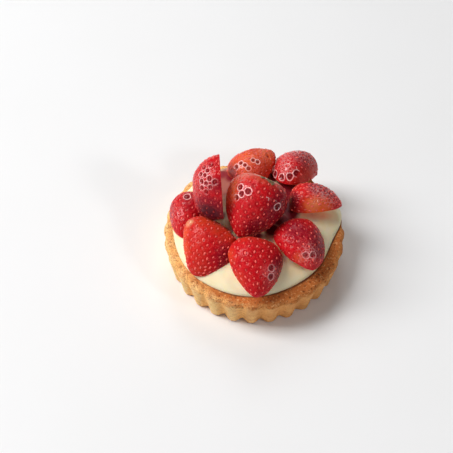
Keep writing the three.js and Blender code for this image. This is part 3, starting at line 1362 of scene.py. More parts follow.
@dataclass(frozen=True)
class Berry:
    """One strawberry, whole or halved, in its own frame from hull (-X) to tip (+X).

    Lengths are in millimetres, and shares of the length run from hull to tip.

    Attributes:
        name, cut: The CAD node that it stands for, and whether it is whole.
        at, lift: The widest ring's middle in plan, and its height over the cream.
        turn: Heading of the tip from +X, pitch of the tip upwards, and roll, in degrees.
        size: Length, width, and depth from the cut face to the skin.
        bend: Sideways curl of the tip.
        fullness: How long it stays wide.
        hull: Width of the hull end as a share of the widest ring.
        warmth, pallor: Of the ripened skin, 1 for orange, and of the skin round the hull.
        scar: How far the pale hull mark spreads over the end, 1 to its edge.
        seed_gap: Distance between seeds, as a share of the usual.
        marks: Places that differ from the rest of the skin.
        glaze_rings: Share and turn in degrees of the seeds in a raised ring of glaze.
        widest: Share of the length where it is widest.
        tip_power, shoulder_power: Roundness of the tip and of the shoulder.
        hull_round, hull_hollow: Radius of the hull end's edge; its hollow's depth and reach.
        unevenness: Slow layers of the skin.
        seed_pitch: Usual distance of seeds, and how much less at the tip and at the hull.
        seed_span: Shares of the length between which seeds are set out.
        seed_jitter: Spread of the seeds' turns in radians and of their shares.
        seed_margin: Radians from the cut edge and share from the hull without seeds.
        ring_clearance: Distance of other seeds from a glaze ring's middle, in spacings.
        bowl_reach, bowl_warp: Radius of a seed's bowl in spacings, and its unevenness.
        bowl_depths: Of a plain bowl and of one in a glaze ring, in radii.
        deepest: Bowl's depth that takes the deepest painted shade.
        lips, lip_widths: Of the lip of a plain bowl and of a glaze ring.
        ring_radii, well_reach: Least and most of a glaze ring, and the share inside it.
        scar_edge: From the hull mark's edge to where it ends and to where it is full.
        neck_reach: Share of the length up to which the neck's pallor goes.
        neck_warmth: Warmth that the neck adds, and the share up to which it goes.
        cut_hollow: Depth of the cut face's hollow and of its fibres.
        disc_rows, disc_fade: Rings on the hull end, and beside it until bowls are full.
        row_step, column_step: Distances of the rings and of the widest ring's corners.
        crease: Degrees at which an edge stays sharp.
        seed_form: Of its seeds.
    """

    name: str
    cut: Cut
    at: Pair
    lift: float
    turn: Triple
    size: Triple
    bend: float
    fullness: float
    hull: float
    warmth: float = 0.0
    pallor: float = 0.2
    scar: float = 0.15
    seed_gap: float = 1.0
    marks: tuple[Mark, ...] = ()
    glaze_rings: tuple[Pair, ...] = ()

    widest: float = 0.32
    tip_power: float = 1.5
    shoulder_power: float = 2.2
    hull_round: float = 2.0
    hull_hollow: Pair = (0.9, 0.24)
    unevenness: tuple[Layer, ...] = ((0.34, 9.0, 0), (0.12, 4.5, 5))
    seed_pitch: Triple = (3.9, 1.1, 0.4)
    seed_span: Pair = (0.035, 0.985)
    seed_jitter: Pair = (0.03, 0.008)
    seed_margin: float = 0.03
    ring_clearance: float = 0.72
    bowl_reach: float = 0.40
    bowl_depths: Pair = (0.18, 0.30)
    bowl_warp: Layer = (0.13, 1.7, 9)
    deepest: float = 0.45
    lips: Pair = (0.03, 0.16)
    lip_widths: Pair = (0.22, 0.24)
    well_reach: float = 0.55
    ring_radii: Pair = (1.25, 1.8)
    scar_edge: Pair = (0.25, -0.05)
    neck_reach: float = 0.30
    neck_warmth: Pair = (0.25, 0.35)
    cut_hollow: Pair = (0.5, 0.05)
    disc_rows: int = 24
    disc_fade: float = 3.0
    row_step: float = 0.22
    column_step: float = 0.24
    crease: float = 55.0
    seed_form: Seed = Seed()

    @property
    def halves(self) -> Pair:
        """Returns the half-width and the depth of the widest ring."""
        return 0.5 * self.size[1], self.size[2]

    @property
    def grain(self) -> Grain:
        """Returns the berry's own noise."""
        return Grain(sum(ord(letter) * (place + 3) for place, letter in enumerate(self.name)))

    def girth(self, share: Array) -> Array:
        """Returns the half-width at shares of the length, as a share of the widest."""
        back = np.maximum(self.widest - share, 0.0) / self.widest
        out = np.clip((share - self.widest) / (1.0 - self.widest), 0.0, 1.0)
        shoulder = np.sqrt(1.0 - (1.0 - self.hull**2) * back**self.shoulder_power)
        taper = np.maximum(0.0, 1.0 - out**self.fullness) ** (1.0 / self.tip_power)
        return np.where(share < self.widest, shoulder, taper)

    def outline(self) -> Array:
        """Draws the berry's outline from the middle of the hull end to the tip.

        Returns:
            Rows of share and girth.
        """
        length, half = self.size[0], self.halves[0]
        edge = self.hull_round / length
        flat = self.hull - self.hull_round / half
        t = np.linspace(0.0, 1.0, END_POINTS)
        hollow, reach = self.hull_hollow
        end = np.stack([hollow / length * np.exp(-((flat * t / reach) ** 2)), flat * t], axis=1)
        corner = np.array([[0.0, flat], [0.0, self.hull], [edge, self.girth(np.array(edge))]])
        bow = (
            np.outer((1 - t) ** 2, corner[0])
            + np.outer(2 * t * (1 - t), corner[1])
            + np.outer(t * t, corner[2])
        )
        side = edge + (1.0 - edge) * np.sin(0.5 * math.pi * np.linspace(0.0, 1.0, SIDE_POINTS))
        skin = np.stack([side, self.girth(side)], axis=1)
        scale = (length, 0.5 * sum(self.halves))
        walked = np.sum(np.linalg.norm(np.diff(skin, axis=0) * np.array(scale), axis=1))
        disc = evenly(np.concatenate([end, bow[1:]]), scale, self.disc_rows + 1)
        rest = evenly(skin, scale, int(walked / self.row_step) + 1)
        return np.concatenate([disc, rest[1:]])

    def form(self, share: Array, girth: Array, turn: Array) -> Array:
        """Returns points of the smooth form."""
        half, depth = self.halves
        out = np.maximum(share - self.widest, 0.0) / (1.0 - self.widest)
        return np.stack(
            [
                (share - self.widest) * self.size[0],
                half * girth * np.cos(turn) + self.bend * out**1.5,
                depth * girth * np.sin(turn),
            ],
            axis=-1,
        )

    def facing(self, along: Array, turn: Array) -> Array:
        """Works out outward normals.

        Args:
            along: Change of share and girth along the outline, two columns.
            turn: Angle round the berry.

        Returns:
            The normals, at length one.
        """
        half, depth = self.halves
        forward = along[..., 0] * self.size[0]
        return unit(
            np.stack(
                [
                    -half * depth * along[..., 1],
                    depth * forward * np.cos(turn),
                    half * forward * np.sin(turn),
                ],
                axis=-1,
            )
        )

    def lumps(self, points: Array) -> Array:
        """Returns the slow unevenness of the skin in millimetres."""
        return self.grain.swell(points, self.unevenness)

    def spacing(self, share: Array) -> Array:
        """Returns the distance between seeds at shares of the length."""
        usual, at_tip, at_hull = self.seed_pitch
        closer = at_tip * ease(0.35, 1.0, share), at_hull * ease(0.2, 0.0, share)
        return self.seed_gap * (usual - closer[0] - closer[1])

    def marked(self, points: Array, trait: str) -> Array:
        """Reads one trait of the marks.

        Args:
            points: Points of the smooth form, three columns.
            trait: The trait's name.

        Returns:
            Its strength at the points, 0 away from every mark.
        """
        total = np.zeros(len(points))
        for mark in self.marks:
            centre, _, _ = self.frames(np.array([mark.share]), np.radians([mark.turn]))
            gap = np.sum((points - centre) ** 2, axis=1) / mark.reach**2
            total = np.maximum(total, getattr(mark, trait) * faded(gap))
        return total

    def seeds(self) -> tuple[Array, Array]:
        """Sets out the seeds in crossing spirals.

        Returns:
            Shares and turns of the seeds.
        """
        share = np.linspace(*self.seed_span, SEED_POINTS)
        girth = self.girth(share)
        scale = (self.size[0], 0.5 * sum(self.halves))
        line = np.stack([share, girth], axis=1) * np.array(scale)
        step = np.linalg.norm(np.gradient(line, axis=0), axis=1)
        round_trip = math.pi * sum(self.halves) * girth
        count = np.cumsum(round_trip * step / (HEXAGON_SHARE * self.spacing(share) ** 2))
        number = np.arange(int(count[-1]))
        places = np.interp(number + 0.5, count, share)
        rng = np.random.default_rng(self.grain.seed)
        turn_jitter, share_jitter = self.seed_jitter
        turns = number * GOLDEN_TURN + rng.uniform(0.0, FIRST_SEED_TURNS)
        turns = (turns + rng.normal(0.0, turn_jitter, len(number))) % FULL_TURN
        places = places + rng.normal(0.0, share_jitter, len(number))
        places = np.clip(places, self.seed_margin, self.seed_span[1])
        if self.cut is Cut.HALF:
            kept = (turns > self.seed_margin) & (turns < math.pi - self.seed_margin)
            places, turns = places[kept], turns[kept]
        if self.glaze_rings:
            ringed, _ = self.ring_points()
            points, _, _ = self.frames(places, turns)
            gap = np.linalg.norm(points[:, None] - ringed[None], axis=2).min(axis=1)
            clear = gap > self.ring_clearance * self.spacing(places)
            at = np.array(self.glaze_rings)
            places = np.concatenate([at[:, 0], places[clear]])
            turns = np.concatenate([np.radians(at[:, 1]), turns[clear]])
        return places, turns

    def ring_points(self) -> tuple[Array, Array]:
        """Returns the middles of the glaze rings and their radii, so that neighbours touch."""
        if not self.glaze_rings:
            return np.zeros((0, 3)), np.zeros(0)
        at = np.array(self.glaze_rings)
        middles, _, _ = self.frames(at[:, 0], np.radians(at[:, 1]))
        gap = np.linalg.norm(middles[:, None] - middles[None], axis=2)
        gap[gap == 0.0] = 2.0 * self.ring_radii[1]
        return middles, np.clip(0.5 * gap.min(axis=1), *self.ring_radii)

    def frames(self, share: Array, turn: Array) -> tuple[Array, Array, Array]:
        """Returns points, outward normals and tipward directions of the smooth form."""
        small = 1e-3
        ahead = np.minimum(share + small, 0.9999)
        here = self.girth(share)
        along = np.stack([ahead - share, self.girth(ahead) - here], axis=-1)
        points = self.form(share, here, turn)
        tipward = unit(self.form(ahead, self.girth(ahead), turn) - points)
        return points, self.facing(along, turn), tipward

    def bowls(self) -> tuple[Array, Array, Array, Array]:
        """Sizes the bowls of the seeds, wider and deeper inside a ring of glaze.

        Returns:
            Middles on the smooth form, radii, depths and lip heights, in millimetres.
        """
        share, turn = self.seeds()
        centres, _, _ = self.frames(share, turn)
        _, ring_radii = self.ring_points()
        count = len(ring_radii)
        radii = self.bowl_reach * self.spacing(share)
        radii[:count] = ring_radii
        depths = self.bowl_depths[0] * radii
        depths[:count] = self.bowl_depths[1] * ring_radii
        lips = np.full(len(share), self.lips[0])
        lips[:count] = self.lips[1]
        return centres, radii, depths, lips

    def dimples(self, points: Array) -> tuple[Array, Array, Array]:
        """Presses a bowl with a raised lip round every seed.

        Args:
            points: Points of the smooth form, three columns.

        Returns:
            Depth of the bowls and height of the lips in millimetres, and how far inside a
            glaze ring each point is, from 0 to 1.
        """
        depth, lip, well = (np.zeros(len(points)) for _ in range(3))
        warp = 1.0 + self.grain.swell(points, (self.bowl_warp,))
        ringed = len(self.glaze_rings)
        for number, (centre, radius, deep, high) in enumerate(zip(*self.bowls())):
            gap = np.linalg.norm(points - centre, axis=1) * warp
            hollow = np.maximum(0.0, 1.0 - (gap / radius) ** 2) ** 1.5
            depth = np.maximum(depth, deep * hollow)
            width = self.lip_widths[number < ringed]
            lip = np.maximum(lip, high * np.exp(-(((gap - radius) / width) ** 2)))
            if number < ringed:
                well = np.maximum(well, ease(1.0, self.well_reach, gap / radius))
        return depth, lip, well

    def place(self, points: Array, cream: Cream) -> Array:
        """Moves points from the berry's frame to the tart's."""
        heading, pitch, roll = (math.radians(angle) for angle in self.turn)
        matrix = np.array(Euler((roll, -pitch, heading), "XYZ").to_matrix())
        x, y = self.at
        height = float(cream.height(np.array(x), np.array(y))) + self.lift
        return points @ matrix.T + np.array([x, y, height])

    def shell(self) -> Shell:
        """Shapes the berry in its own frame, closed, with its bowls and its cut face."""
        rows = self.outline()
        along = np.gradient(rows, axis=0)
        closed = self.cut is Cut.WHOLE
        half, depth = self.halves
        girdle = math.pi * (half + depth) * (1.0 if closed else 0.5)
        columns = int(girdle / self.column_step)
        turn = (2.0 if closed else 1.0) * math.pi * np.arange(columns + 1) / columns
        turn = turn[:-1] if closed else turn
        inner = rows[1:-1]
        share, angle = np.meshgrid(inner[:, 0], turn, indexing="ij")
        girth = np.repeat(inner[:, 1:], len(turn), axis=1)
        slope = np.repeat(along[1:-1, None, :], len(turn), axis=1)
        points = [self.form(share, girth, angle).reshape(-1, 3)]
        normals = [self.facing(slope, angle).reshape(-1, 3)]
        for at, nose in ((rows[0], -1.0), (rows[-1], 1.0)):
            points.append(self.form(at[:1], at[1:] * 0.0, np.zeros(1)))
            normals.append(np.array([[nose, 0.0, 0.0]]))
        base = np.concatenate(points)
        facing = np.concatenate(normals)
        place = np.concatenate([share.ravel(), [0.0, 1.0]])
        last = len(rows) - 1
        row = np.concatenate([np.repeat(np.arange(1, last), len(turn)), [0, last]])
        first, last = self.disc_rows - self.disc_fade, self.disc_rows + self.disc_fade
        on_side = ease(first, last, row.astype(float))
        bowls, lips, wells = (height * on_side for height in self.dimples(base))
        corners = base + facing * (self.lumps(base) - bowls + lips)[:, None]
        index = np.arange(len(inner) * len(turn)).reshape(len(inner), len(turn))
        index = wrapped(index) if closed else index
        hull_end, tip_end = len(base) - 2, len(base) - 1
        faces = [quads(index), fan(hull_end, index[0, ::-1]), fan(tip_end, index[-1])]
        radial = np.where(row <= self.disc_rows, row / self.disc_rows, PAST_DISC)
        shell = Shell(corners, faces, self._traits(base, place, radial))
        shell.values["dimple"] = bowls / self.deepest
        shell.values["ring"] = ease(0.35, 0.85, lips / self.lips[1])
        shell.values["well"] = wells
        if not closed:
            self._add_cut_face(shell, index, hull_end, tip_end)
        return shell

    def _traits(self, base: Array, place: Array, radial: Array) -> dict[str, Array]:
        """Sets out what the finish needs to know of the skin."""
        traits = ("pale", "warm", "ripe_and_shade", "wet", "milky_highlight", "scar")
        values = {trait: self.marked(base, trait) for trait in traits}
        ends, full = self.scar_edge
        scar = ease(self.scar + ends, self.scar + full, radial)
        values["scar"] = np.maximum(scar, values["scar"])
        neck = self.pallor * ease(self.neck_reach, 0.0, place)
        values["pale"] = np.maximum(neck, values["pale"])
        more, reach = self.neck_warmth
        values["warm"] = self.warmth + more * ease(reach, 0.0, place) + values["warm"]
        return values | {trait: np.zeros(len(base)) for trait in ("cut", "rind", "core")}

    def _add_cut_face(self, shell: Shell, index: Array, hull_end: int, tip_end: int) -> None:
        """Closes a half with its cut face."""
        k = self.disc_rows
        start = len(shell.corners)
        first = np.concatenate([index[k - 1 :: -1, 0], [hull_end], index[:k, -1]])
        rings = np.arange(k, len(index))
        across = np.linspace(0.0, 1.0, 2 * k + 1)[1:-1]
        left, right = shell.corners[index[rings, 0]], shell.corners[index[rings, -1]]
        over = across[None, :, None]
        body = left[:, None, :] * (1 - over) + right[:, None, :] * over
        flat = body.reshape(-1, 3)
        middle = np.tile(1.0 - np.abs(2.0 * across - 1.0), len(rings))
        width = np.repeat(np.linalg.norm(right - left, axis=1), len(across))
        rind = 0.5 * middle * width
        along = (flat[:, 0] / self.size[0] + self.widest).clip(0.0, 1.0)
        core = ease(0.35, 0.95, middle) * ease(0.98, 0.72, along)
        deep, fine = self.cut_hollow
        hollow = deep * ease(0.75, 1.0, middle) * ease(0.75, 0.3, along) * ease(0.0, 0.12, along)
        fibre = fine * self.grain.layered(flat * np.array(FIBRE_STRETCH), 1.2, 2)
        flat[:, 2] += (hollow + fibre + fine) * ease(0.0, 1.5, rind)
        inner = start + np.arange(len(flat)).reshape(len(rings), len(across))
        grid = np.concatenate([index[rings, :1], inner, index[rings, -1:]], axis=1)
        grid = np.concatenate([first[None, :], grid])
        shell.corners = np.concatenate([shell.corners, flat])
        shell.faces += [quads(grid)[:, ::-1], fan(tip_end, grid[-1])[:, ::-1]]
        added = {"cut": np.ones(len(flat)), "rind": rind, "core": core}
        for key, numbers in shell.values.items():
            shell.values[key] = np.concatenate([numbers, added.get(key, np.zeros(len(flat)))])

    def seed_shell(self) -> Shell:
        """Shapes the berry's seeds in its own frame, each a small drop in its bowl."""
        share, turn = self.seeds()
        points, normals, tipward = self.frames(share, turn)
        rng = np.random.default_rng(self.grain.seed + 1)
        seed = self.seed_form
        _, _, depths, _ = self.bowls()
        across = unit(np.cross(normals, tipward))
        drop, drop_faces = seed.drop()
        scale = rng.normal(1.0, seed.spread, (len(share), 1))
        swing = rng.normal(0.0, seed.swing, (len(share), 1))
        first = unit(tipward * np.cos(swing) + across * np.sin(swing))
        second = np.cross(normals, first)
        centre = points + normals * (self.lumps(points) - depths + seed.rise)[:, None]
        size = scale * np.array(seed.size)
        corners = centre[:, None, :]
        for axis, way in enumerate((first, second, normals)):
            stretch = drop[None, :, axis] * size[:, axis : axis + 1]
            corners = corners + stretch[..., None] * way[:, None, :]
        shift = np.arange(len(share))[:, None, None] * len(drop)
        faces = [(shift + block[None]).reshape(-1, block.shape[1]) for block in drop_faces]
        most, power = seed.tone
        tone = most * rng.uniform(0.0, 1.0, len(share)) ** power
        # Seeds darken under crimson skin and under painted shade.
        tone = np.maximum(tone, seed.ripe_tone * self.marked(points, "ripe_and_shade"))
        tone[: len(self.glaze_rings)] = seed.ring_tone
        return Shell(corners.reshape(-1, 3), faces, {"tone": np.repeat(tone, len(drop))})

    def dress(self, cream: Cream, skin: bpy.types.Material, seed: bpy.types.Material) -> Array:
        """Builds the berry and its seeds.

        Args:
            cream: The mound that it lies on.
            skin: Material of the berry.
            seed: Material of its seeds.

        Returns:
            The berry's corners in the tart's frame, in millimetres.
        """
        body = self.shell()
        body.corners = self.place(body.corners, cream)
        piece = body.build(f"strawberry_{self.name}", self.crease)
        present(piece, skin)
        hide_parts(self.name)
        seeds = self.seed_shell()
        seeds.corners = self.place(seeds.corners, cream)
        present(seeds.build(f"seeds_{self.name}"), seed)
        return body.corners


@dataclass(frozen=True)
class Sepal:
    """A dried stub of hull leaf that lies back on a berry's shoulder.

    Attributes:
        turn, swing: Its place round the berry and its sideways lean, in degrees.
        reach, width, thickness: In millimetres; its reach is from the hull's rim.
        start: Share of the berry's length where it begins.
        taper: Where on its rounded outline it begins, and the power that shapes that.
        lie: Height of its middle over the skin, and of its faces over that, in thicknesses.
        steps, crease: Corners along it and round it, and degrees of a sharp edge.
    """

    turn: float
    reach: float
    width: float
    swing: float = 0.0

    thickness: float = 0.35
    start: float = 0.012
    taper: Pair = (0.12, 0.7)
    lie: Pair = (0.4, 0.5)
    steps: int = 10
    crease: float = 60.0

    def shell(self, berry: Berry) -> Shell:
        """Shapes the stub over a berry, in the berry's frame."""
        t = np.linspace(0.0, 1.0, self.steps)
        angle = around(self.steps)
        begin, power = self.taper
        half = 0.5 * self.width * np.sin(math.pi * (begin + (1.0 - begin) * t) ** power) ** power
        half[-1] = 0.0
        share = self.start + t * self.reach / berry.size[0]
        radius = 0.5 * sum(berry.halves) * berry.girth(share)
        lean = t * self.reach * math.tan(math.radians(self.swing))
        sideways = (lean[:, None] + half[:, None] * np.cos(angle)[None]) / radius[:, None]
        turn = math.radians(self.turn) + sideways
        shares = np.repeat(share[:, None], len(angle), axis=1)
        points, normals, _ = berry.frames(shares.ravel(), turn.ravel())
        middle, face = self.lie
        rise = np.tile(self.thickness * (middle + face * np.sin(angle)), len(t))
        corners = points + normals * (berry.lumps(points) + rise)[:, None]
        index = np.arange(len(corners)).reshape(len(t), len(angle))
        ends = [corners[index[0]].mean(axis=0), corners[index[-1]].mean(axis=0)]
        index = wrapped(index)
        count = len(corners)
        faces = [quads(index), fan(count, index[0, ::-1]), fan(count + 1, index[-1])]
        return Shell(np.concatenate([corners, ends]), faces)

    def dress(self, number: int, berry: Berry, cream: Cream, leaf: bpy.types.Material) -> None:
        """Builds the stub on its berry.

        Args:
            number: Its number among the stubs.
            berry: The berry.
            cream: The mound that the berry lies on.
            leaf: Material of the stub.
        """
        shell = self.shell(berry)
        shell.corners = berry.place(shell.corners, cream)
        present(shell.build(f"hull_stub_{number}", self.crease), leaf)


SEPALS = (Sepal(55.0, 1.9, 2.4, 12.0), Sepal(66.0, 1.3, 2.6, -10.0), Sepal(84.0, 0.9, 2.2, 8.0))
CENTRE_BERRY = Berry(
    "berry_centre", Cut.WHOLE, (1.0, 2.9), 11.8, (-116.0, -30.0, 0.0), (30.4, 29.5, 14.2),
    -0.8, 1.59, 0.62, warmth=0.0, pallor=0.25, scar=0.62,
    marks=(
        Mark(0.33, 106.0, 5.5, wet=0.75, milky_highlight=0.25), Mark(0.35, 33.0, 2.6, wet=0.8),
        # Painted light: orange, pale and milky on the upper left, which lies in the tall left
        # half's shade.
        Mark(0.38, 146.0, 7.5, warm=0.9, pale=0.22, milky_highlight=0.5),
        # Painted milky highlight near the hull; painted shade, near-black in part, on the right and
        # the lower right.
        Mark(0.13, 133.0, 5.0, warm=0.3, milky_highlight=0.7), Mark(0.35, 16.0, 10.0, ripe_and_shade=1.15),
        Mark(0.80, 32.0, 7.0, ripe_and_shade=1.15),
    ),
    glaze_rings=((0.29, 116.0), (0.31, 97.0), (0.38, 108.0), (0.46, 117.0), (0.35, 33.0)),
)
HALF_BERRIES = (
    Berry(
        "half_front", Cut.HALF, (-0.1, -24.0), 1.2, (-98.0, -5.0, -20.0), (27.6, 26.8, 11.2),
        2.4, 1.69, 0.62, warmth=0.05, seed_gap=0.92,
        marks=(
            Mark(0.63, 60.0, 4.5, wet=0.5, milky_highlight=0.4), Mark(0.45, 30.0, 8.0, ripe_and_shade=1.0),
            Mark(0.44, 174.0, 5.0, warm=0.40), Mark(0.75, 168.0, 4.5, warm=0.3),
        ),
        glaze_rings=((0.56, 66.0), (0.68, 59.0)),
    ),
    Berry(
        "half_front_left", Cut.HALF, (-20.6, -12.5), 0.3, (-128.0, -15.0, -12.0), (27.2, 30.2, 9.2),
        3.1, 1.54, 0.35, warmth=0.22, seed_gap=0.8,
        marks=(
            Mark(0.32, 152.0, 3.0, pale=0.62), Mark(0.31, 151.0, 0.9, scar=0.8),
            Mark(0.50, 168.0, 4.5, warm=0.40, pale=0.1),
            Mark(0.75, 160.0, 4.5, warm=0.35), Mark(0.45, 40.0, 8.0, ripe_and_shade=0.7),
        ),
    ),
    Berry(
        "half_front_right", Cut.HALF, (20.6, -12.4), 0.3, (-74.0, 3.0, -20.0), (26.8, 24.8, 10.8),
        1.0, 1.81, 0.66, warmth=0.0,
        marks=(
            # Painted milky highlight, and painted shade that is near-black in part.
            Mark(0.80, 106.0, 5.0, wet=0.36, milky_highlight=0.7), Mark(0.62, 60.0, 8.0, ripe_and_shade=1.25, milky_highlight=0.1),
            Mark(0.55, 105.0, 6.0, ripe_and_shade=0.6), Mark(0.38, 112.0, 8.0, ripe_and_shade=0.8),
            Mark(0.80, 150.0, 3.5, warm=0.5),
        ),
        glaze_rings=((0.81, 120.0), (0.82, 93.0)),
    ),
    Berry(
        "half_right", Cut.HALF, (25.5, 7.6), 0.6, (0.4, 1.7, -34.0), (26.0, 19.0, 12.2),
        0.4, 1.89, 0.54, warmth=0.10, seed_gap=0.72,
        marks=(
            Mark(0.55, 122.0, 5.0, wet=0.8, milky_highlight=0.85), Mark(0.76, 130.0, 5.0, wet=0.9, milky_highlight=0.9),
            # Painted glow: orange where light shines through the flesh near the cut face.
            Mark(0.55, 166.0, 7.5, warm=0.8), Mark(0.42, 162.0, 4.6, warm=0.8, pale=0.36),
            # Painted shade, near-black in part, at the hull end beside the centre berry and over
            # the top.
            Mark(0.02, 140.0, 5.0, ripe_and_shade=1.5), Mark(0.60, 104.0, 7.0, ripe_and_shade=1.2),
        ),
    ),
    Berry(
        "half_back_right", Cut.HALF, (22.2, 28.4), 3.1, (141.0, -16.0, 24.0), (24.8, 26.6, 12.8),
        -3.0, 1.6, 0.2, warmth=0.0, scar=0.0, seed_gap=0.9,
        marks=(
            Mark(0.42, 13.0, 5.5, wet=0.9), Mark(0.16, 24.0, 5.5, wet=0.9),
            Mark(0.40, 42.0, 4.4, wet=0.6, milky_highlight=1.0),
            Mark(0.20, 85.0, 6.0, ripe_and_shade=0.9, milky_highlight=0.4), Mark(0.50, 72.0, 6.0, milky_highlight=0.6),
            Mark(0.33, 95.0, 6.0, ripe_and_shade=0.9, milky_highlight=1.1), Mark(0.13, 106.0, 5.0, ripe_and_shade=0.5, milky_highlight=1.0),
            Mark(0.30, 35.0, 4.0, milky_highlight=0.8),
        ),
        glaze_rings=((0.54, 12.0), (0.33, 13.0), (0.17, 20.0), (0.10, 34.0)),
    ),
    Berry(
        "half_back", Cut.HALF, (-2.4, 29.0), 0.9, (37.0, 10.0, -14.0), (26.0, 22.6, 11.4),
        1.2, 1.69, 0.62, warmth=0.38, seed_gap=0.9,
        marks=(
            Mark(0.20, 105.0, 5.5, wet=0.60), Mark(0.47, 118.0, 5.0, wet=0.55, pale=0.16),
            Mark(0.35, 90.0, 8.0, warm=0.3), Mark(0.32, 108.0, 8.0, milky_highlight=0.35),
            Mark(0.70, 110.0, 6.0, milky_highlight=0.45),
            # Painted shade on the hull end, in the tall left half's shadow.
            Mark(0.00, 80.0, 6.0, ripe_and_shade=1.5), Mark(0.80, 115.0, 6.0, warm=0.5),
        ),
        glaze_rings=(
            (0.12, 95.0), (0.23, 98.0), (0.26, 110.0), (0.27, 124.0), (0.45, 113.0), (0.50, 123.0),
            (0.77, 127.0),
        ),
    ),
    Berry(
        "half_back_left", Cut.HALF, (-15.7, 5.1), 13.0, (96.0, 54.5, -93.6), (29.5, 26.4, 13.7),
        -1.5, 3.0, 0.77, warmth=0.0, seed_gap=0.88,
        marks=(
            Mark(0.70, 140.0, 7.0, wet=0.44), Mark(0.55, 115.0, 5.0, milky_highlight=0.5),
            Mark(0.60, 168.0, 5.0, ripe_and_shade=0.7),
            # Painted shade: near-black on the lower end, between the berries.
            Mark(0.09, 148.0, 9.0, ripe_and_shade=1.9),
        ),
        glaze_rings=(
            (0.84, 126.0), (0.81, 143.0), (0.74, 140.0), (0.74, 126.0), (0.64, 134.0),
            (0.70, 154.0), (0.62, 147.0), (0.57, 157.0), (0.54, 137.0), (0.49, 148.0),
            (0.89, 148.0), (0.65, 167.0),
        ),
    ),
    Berry(
        "half_left", Cut.HALF, (-31.8, 8.1), -2.0, (-101.0, 4.0, 14.0), (25.6, 19.6, 10.0),
        0.2, 1.58, 0.6, warmth=0.0,
        marks=(
            Mark(0.28, 84.0, 3.0, wet=0.8, milky_highlight=0.3), Mark(0.60, 125.0, 6.0, wet=0.4, milky_highlight=0.3),
            Mark(0.5, 150.0, 6.0, ripe_and_shade=0.6), Mark(0.35, 60.0, 8.0, ripe_and_shade=0.6),
        ),
        glaze_rings=((0.28, 84.0),),
    ),
)


# ------------------------------------------------------------------- pastry


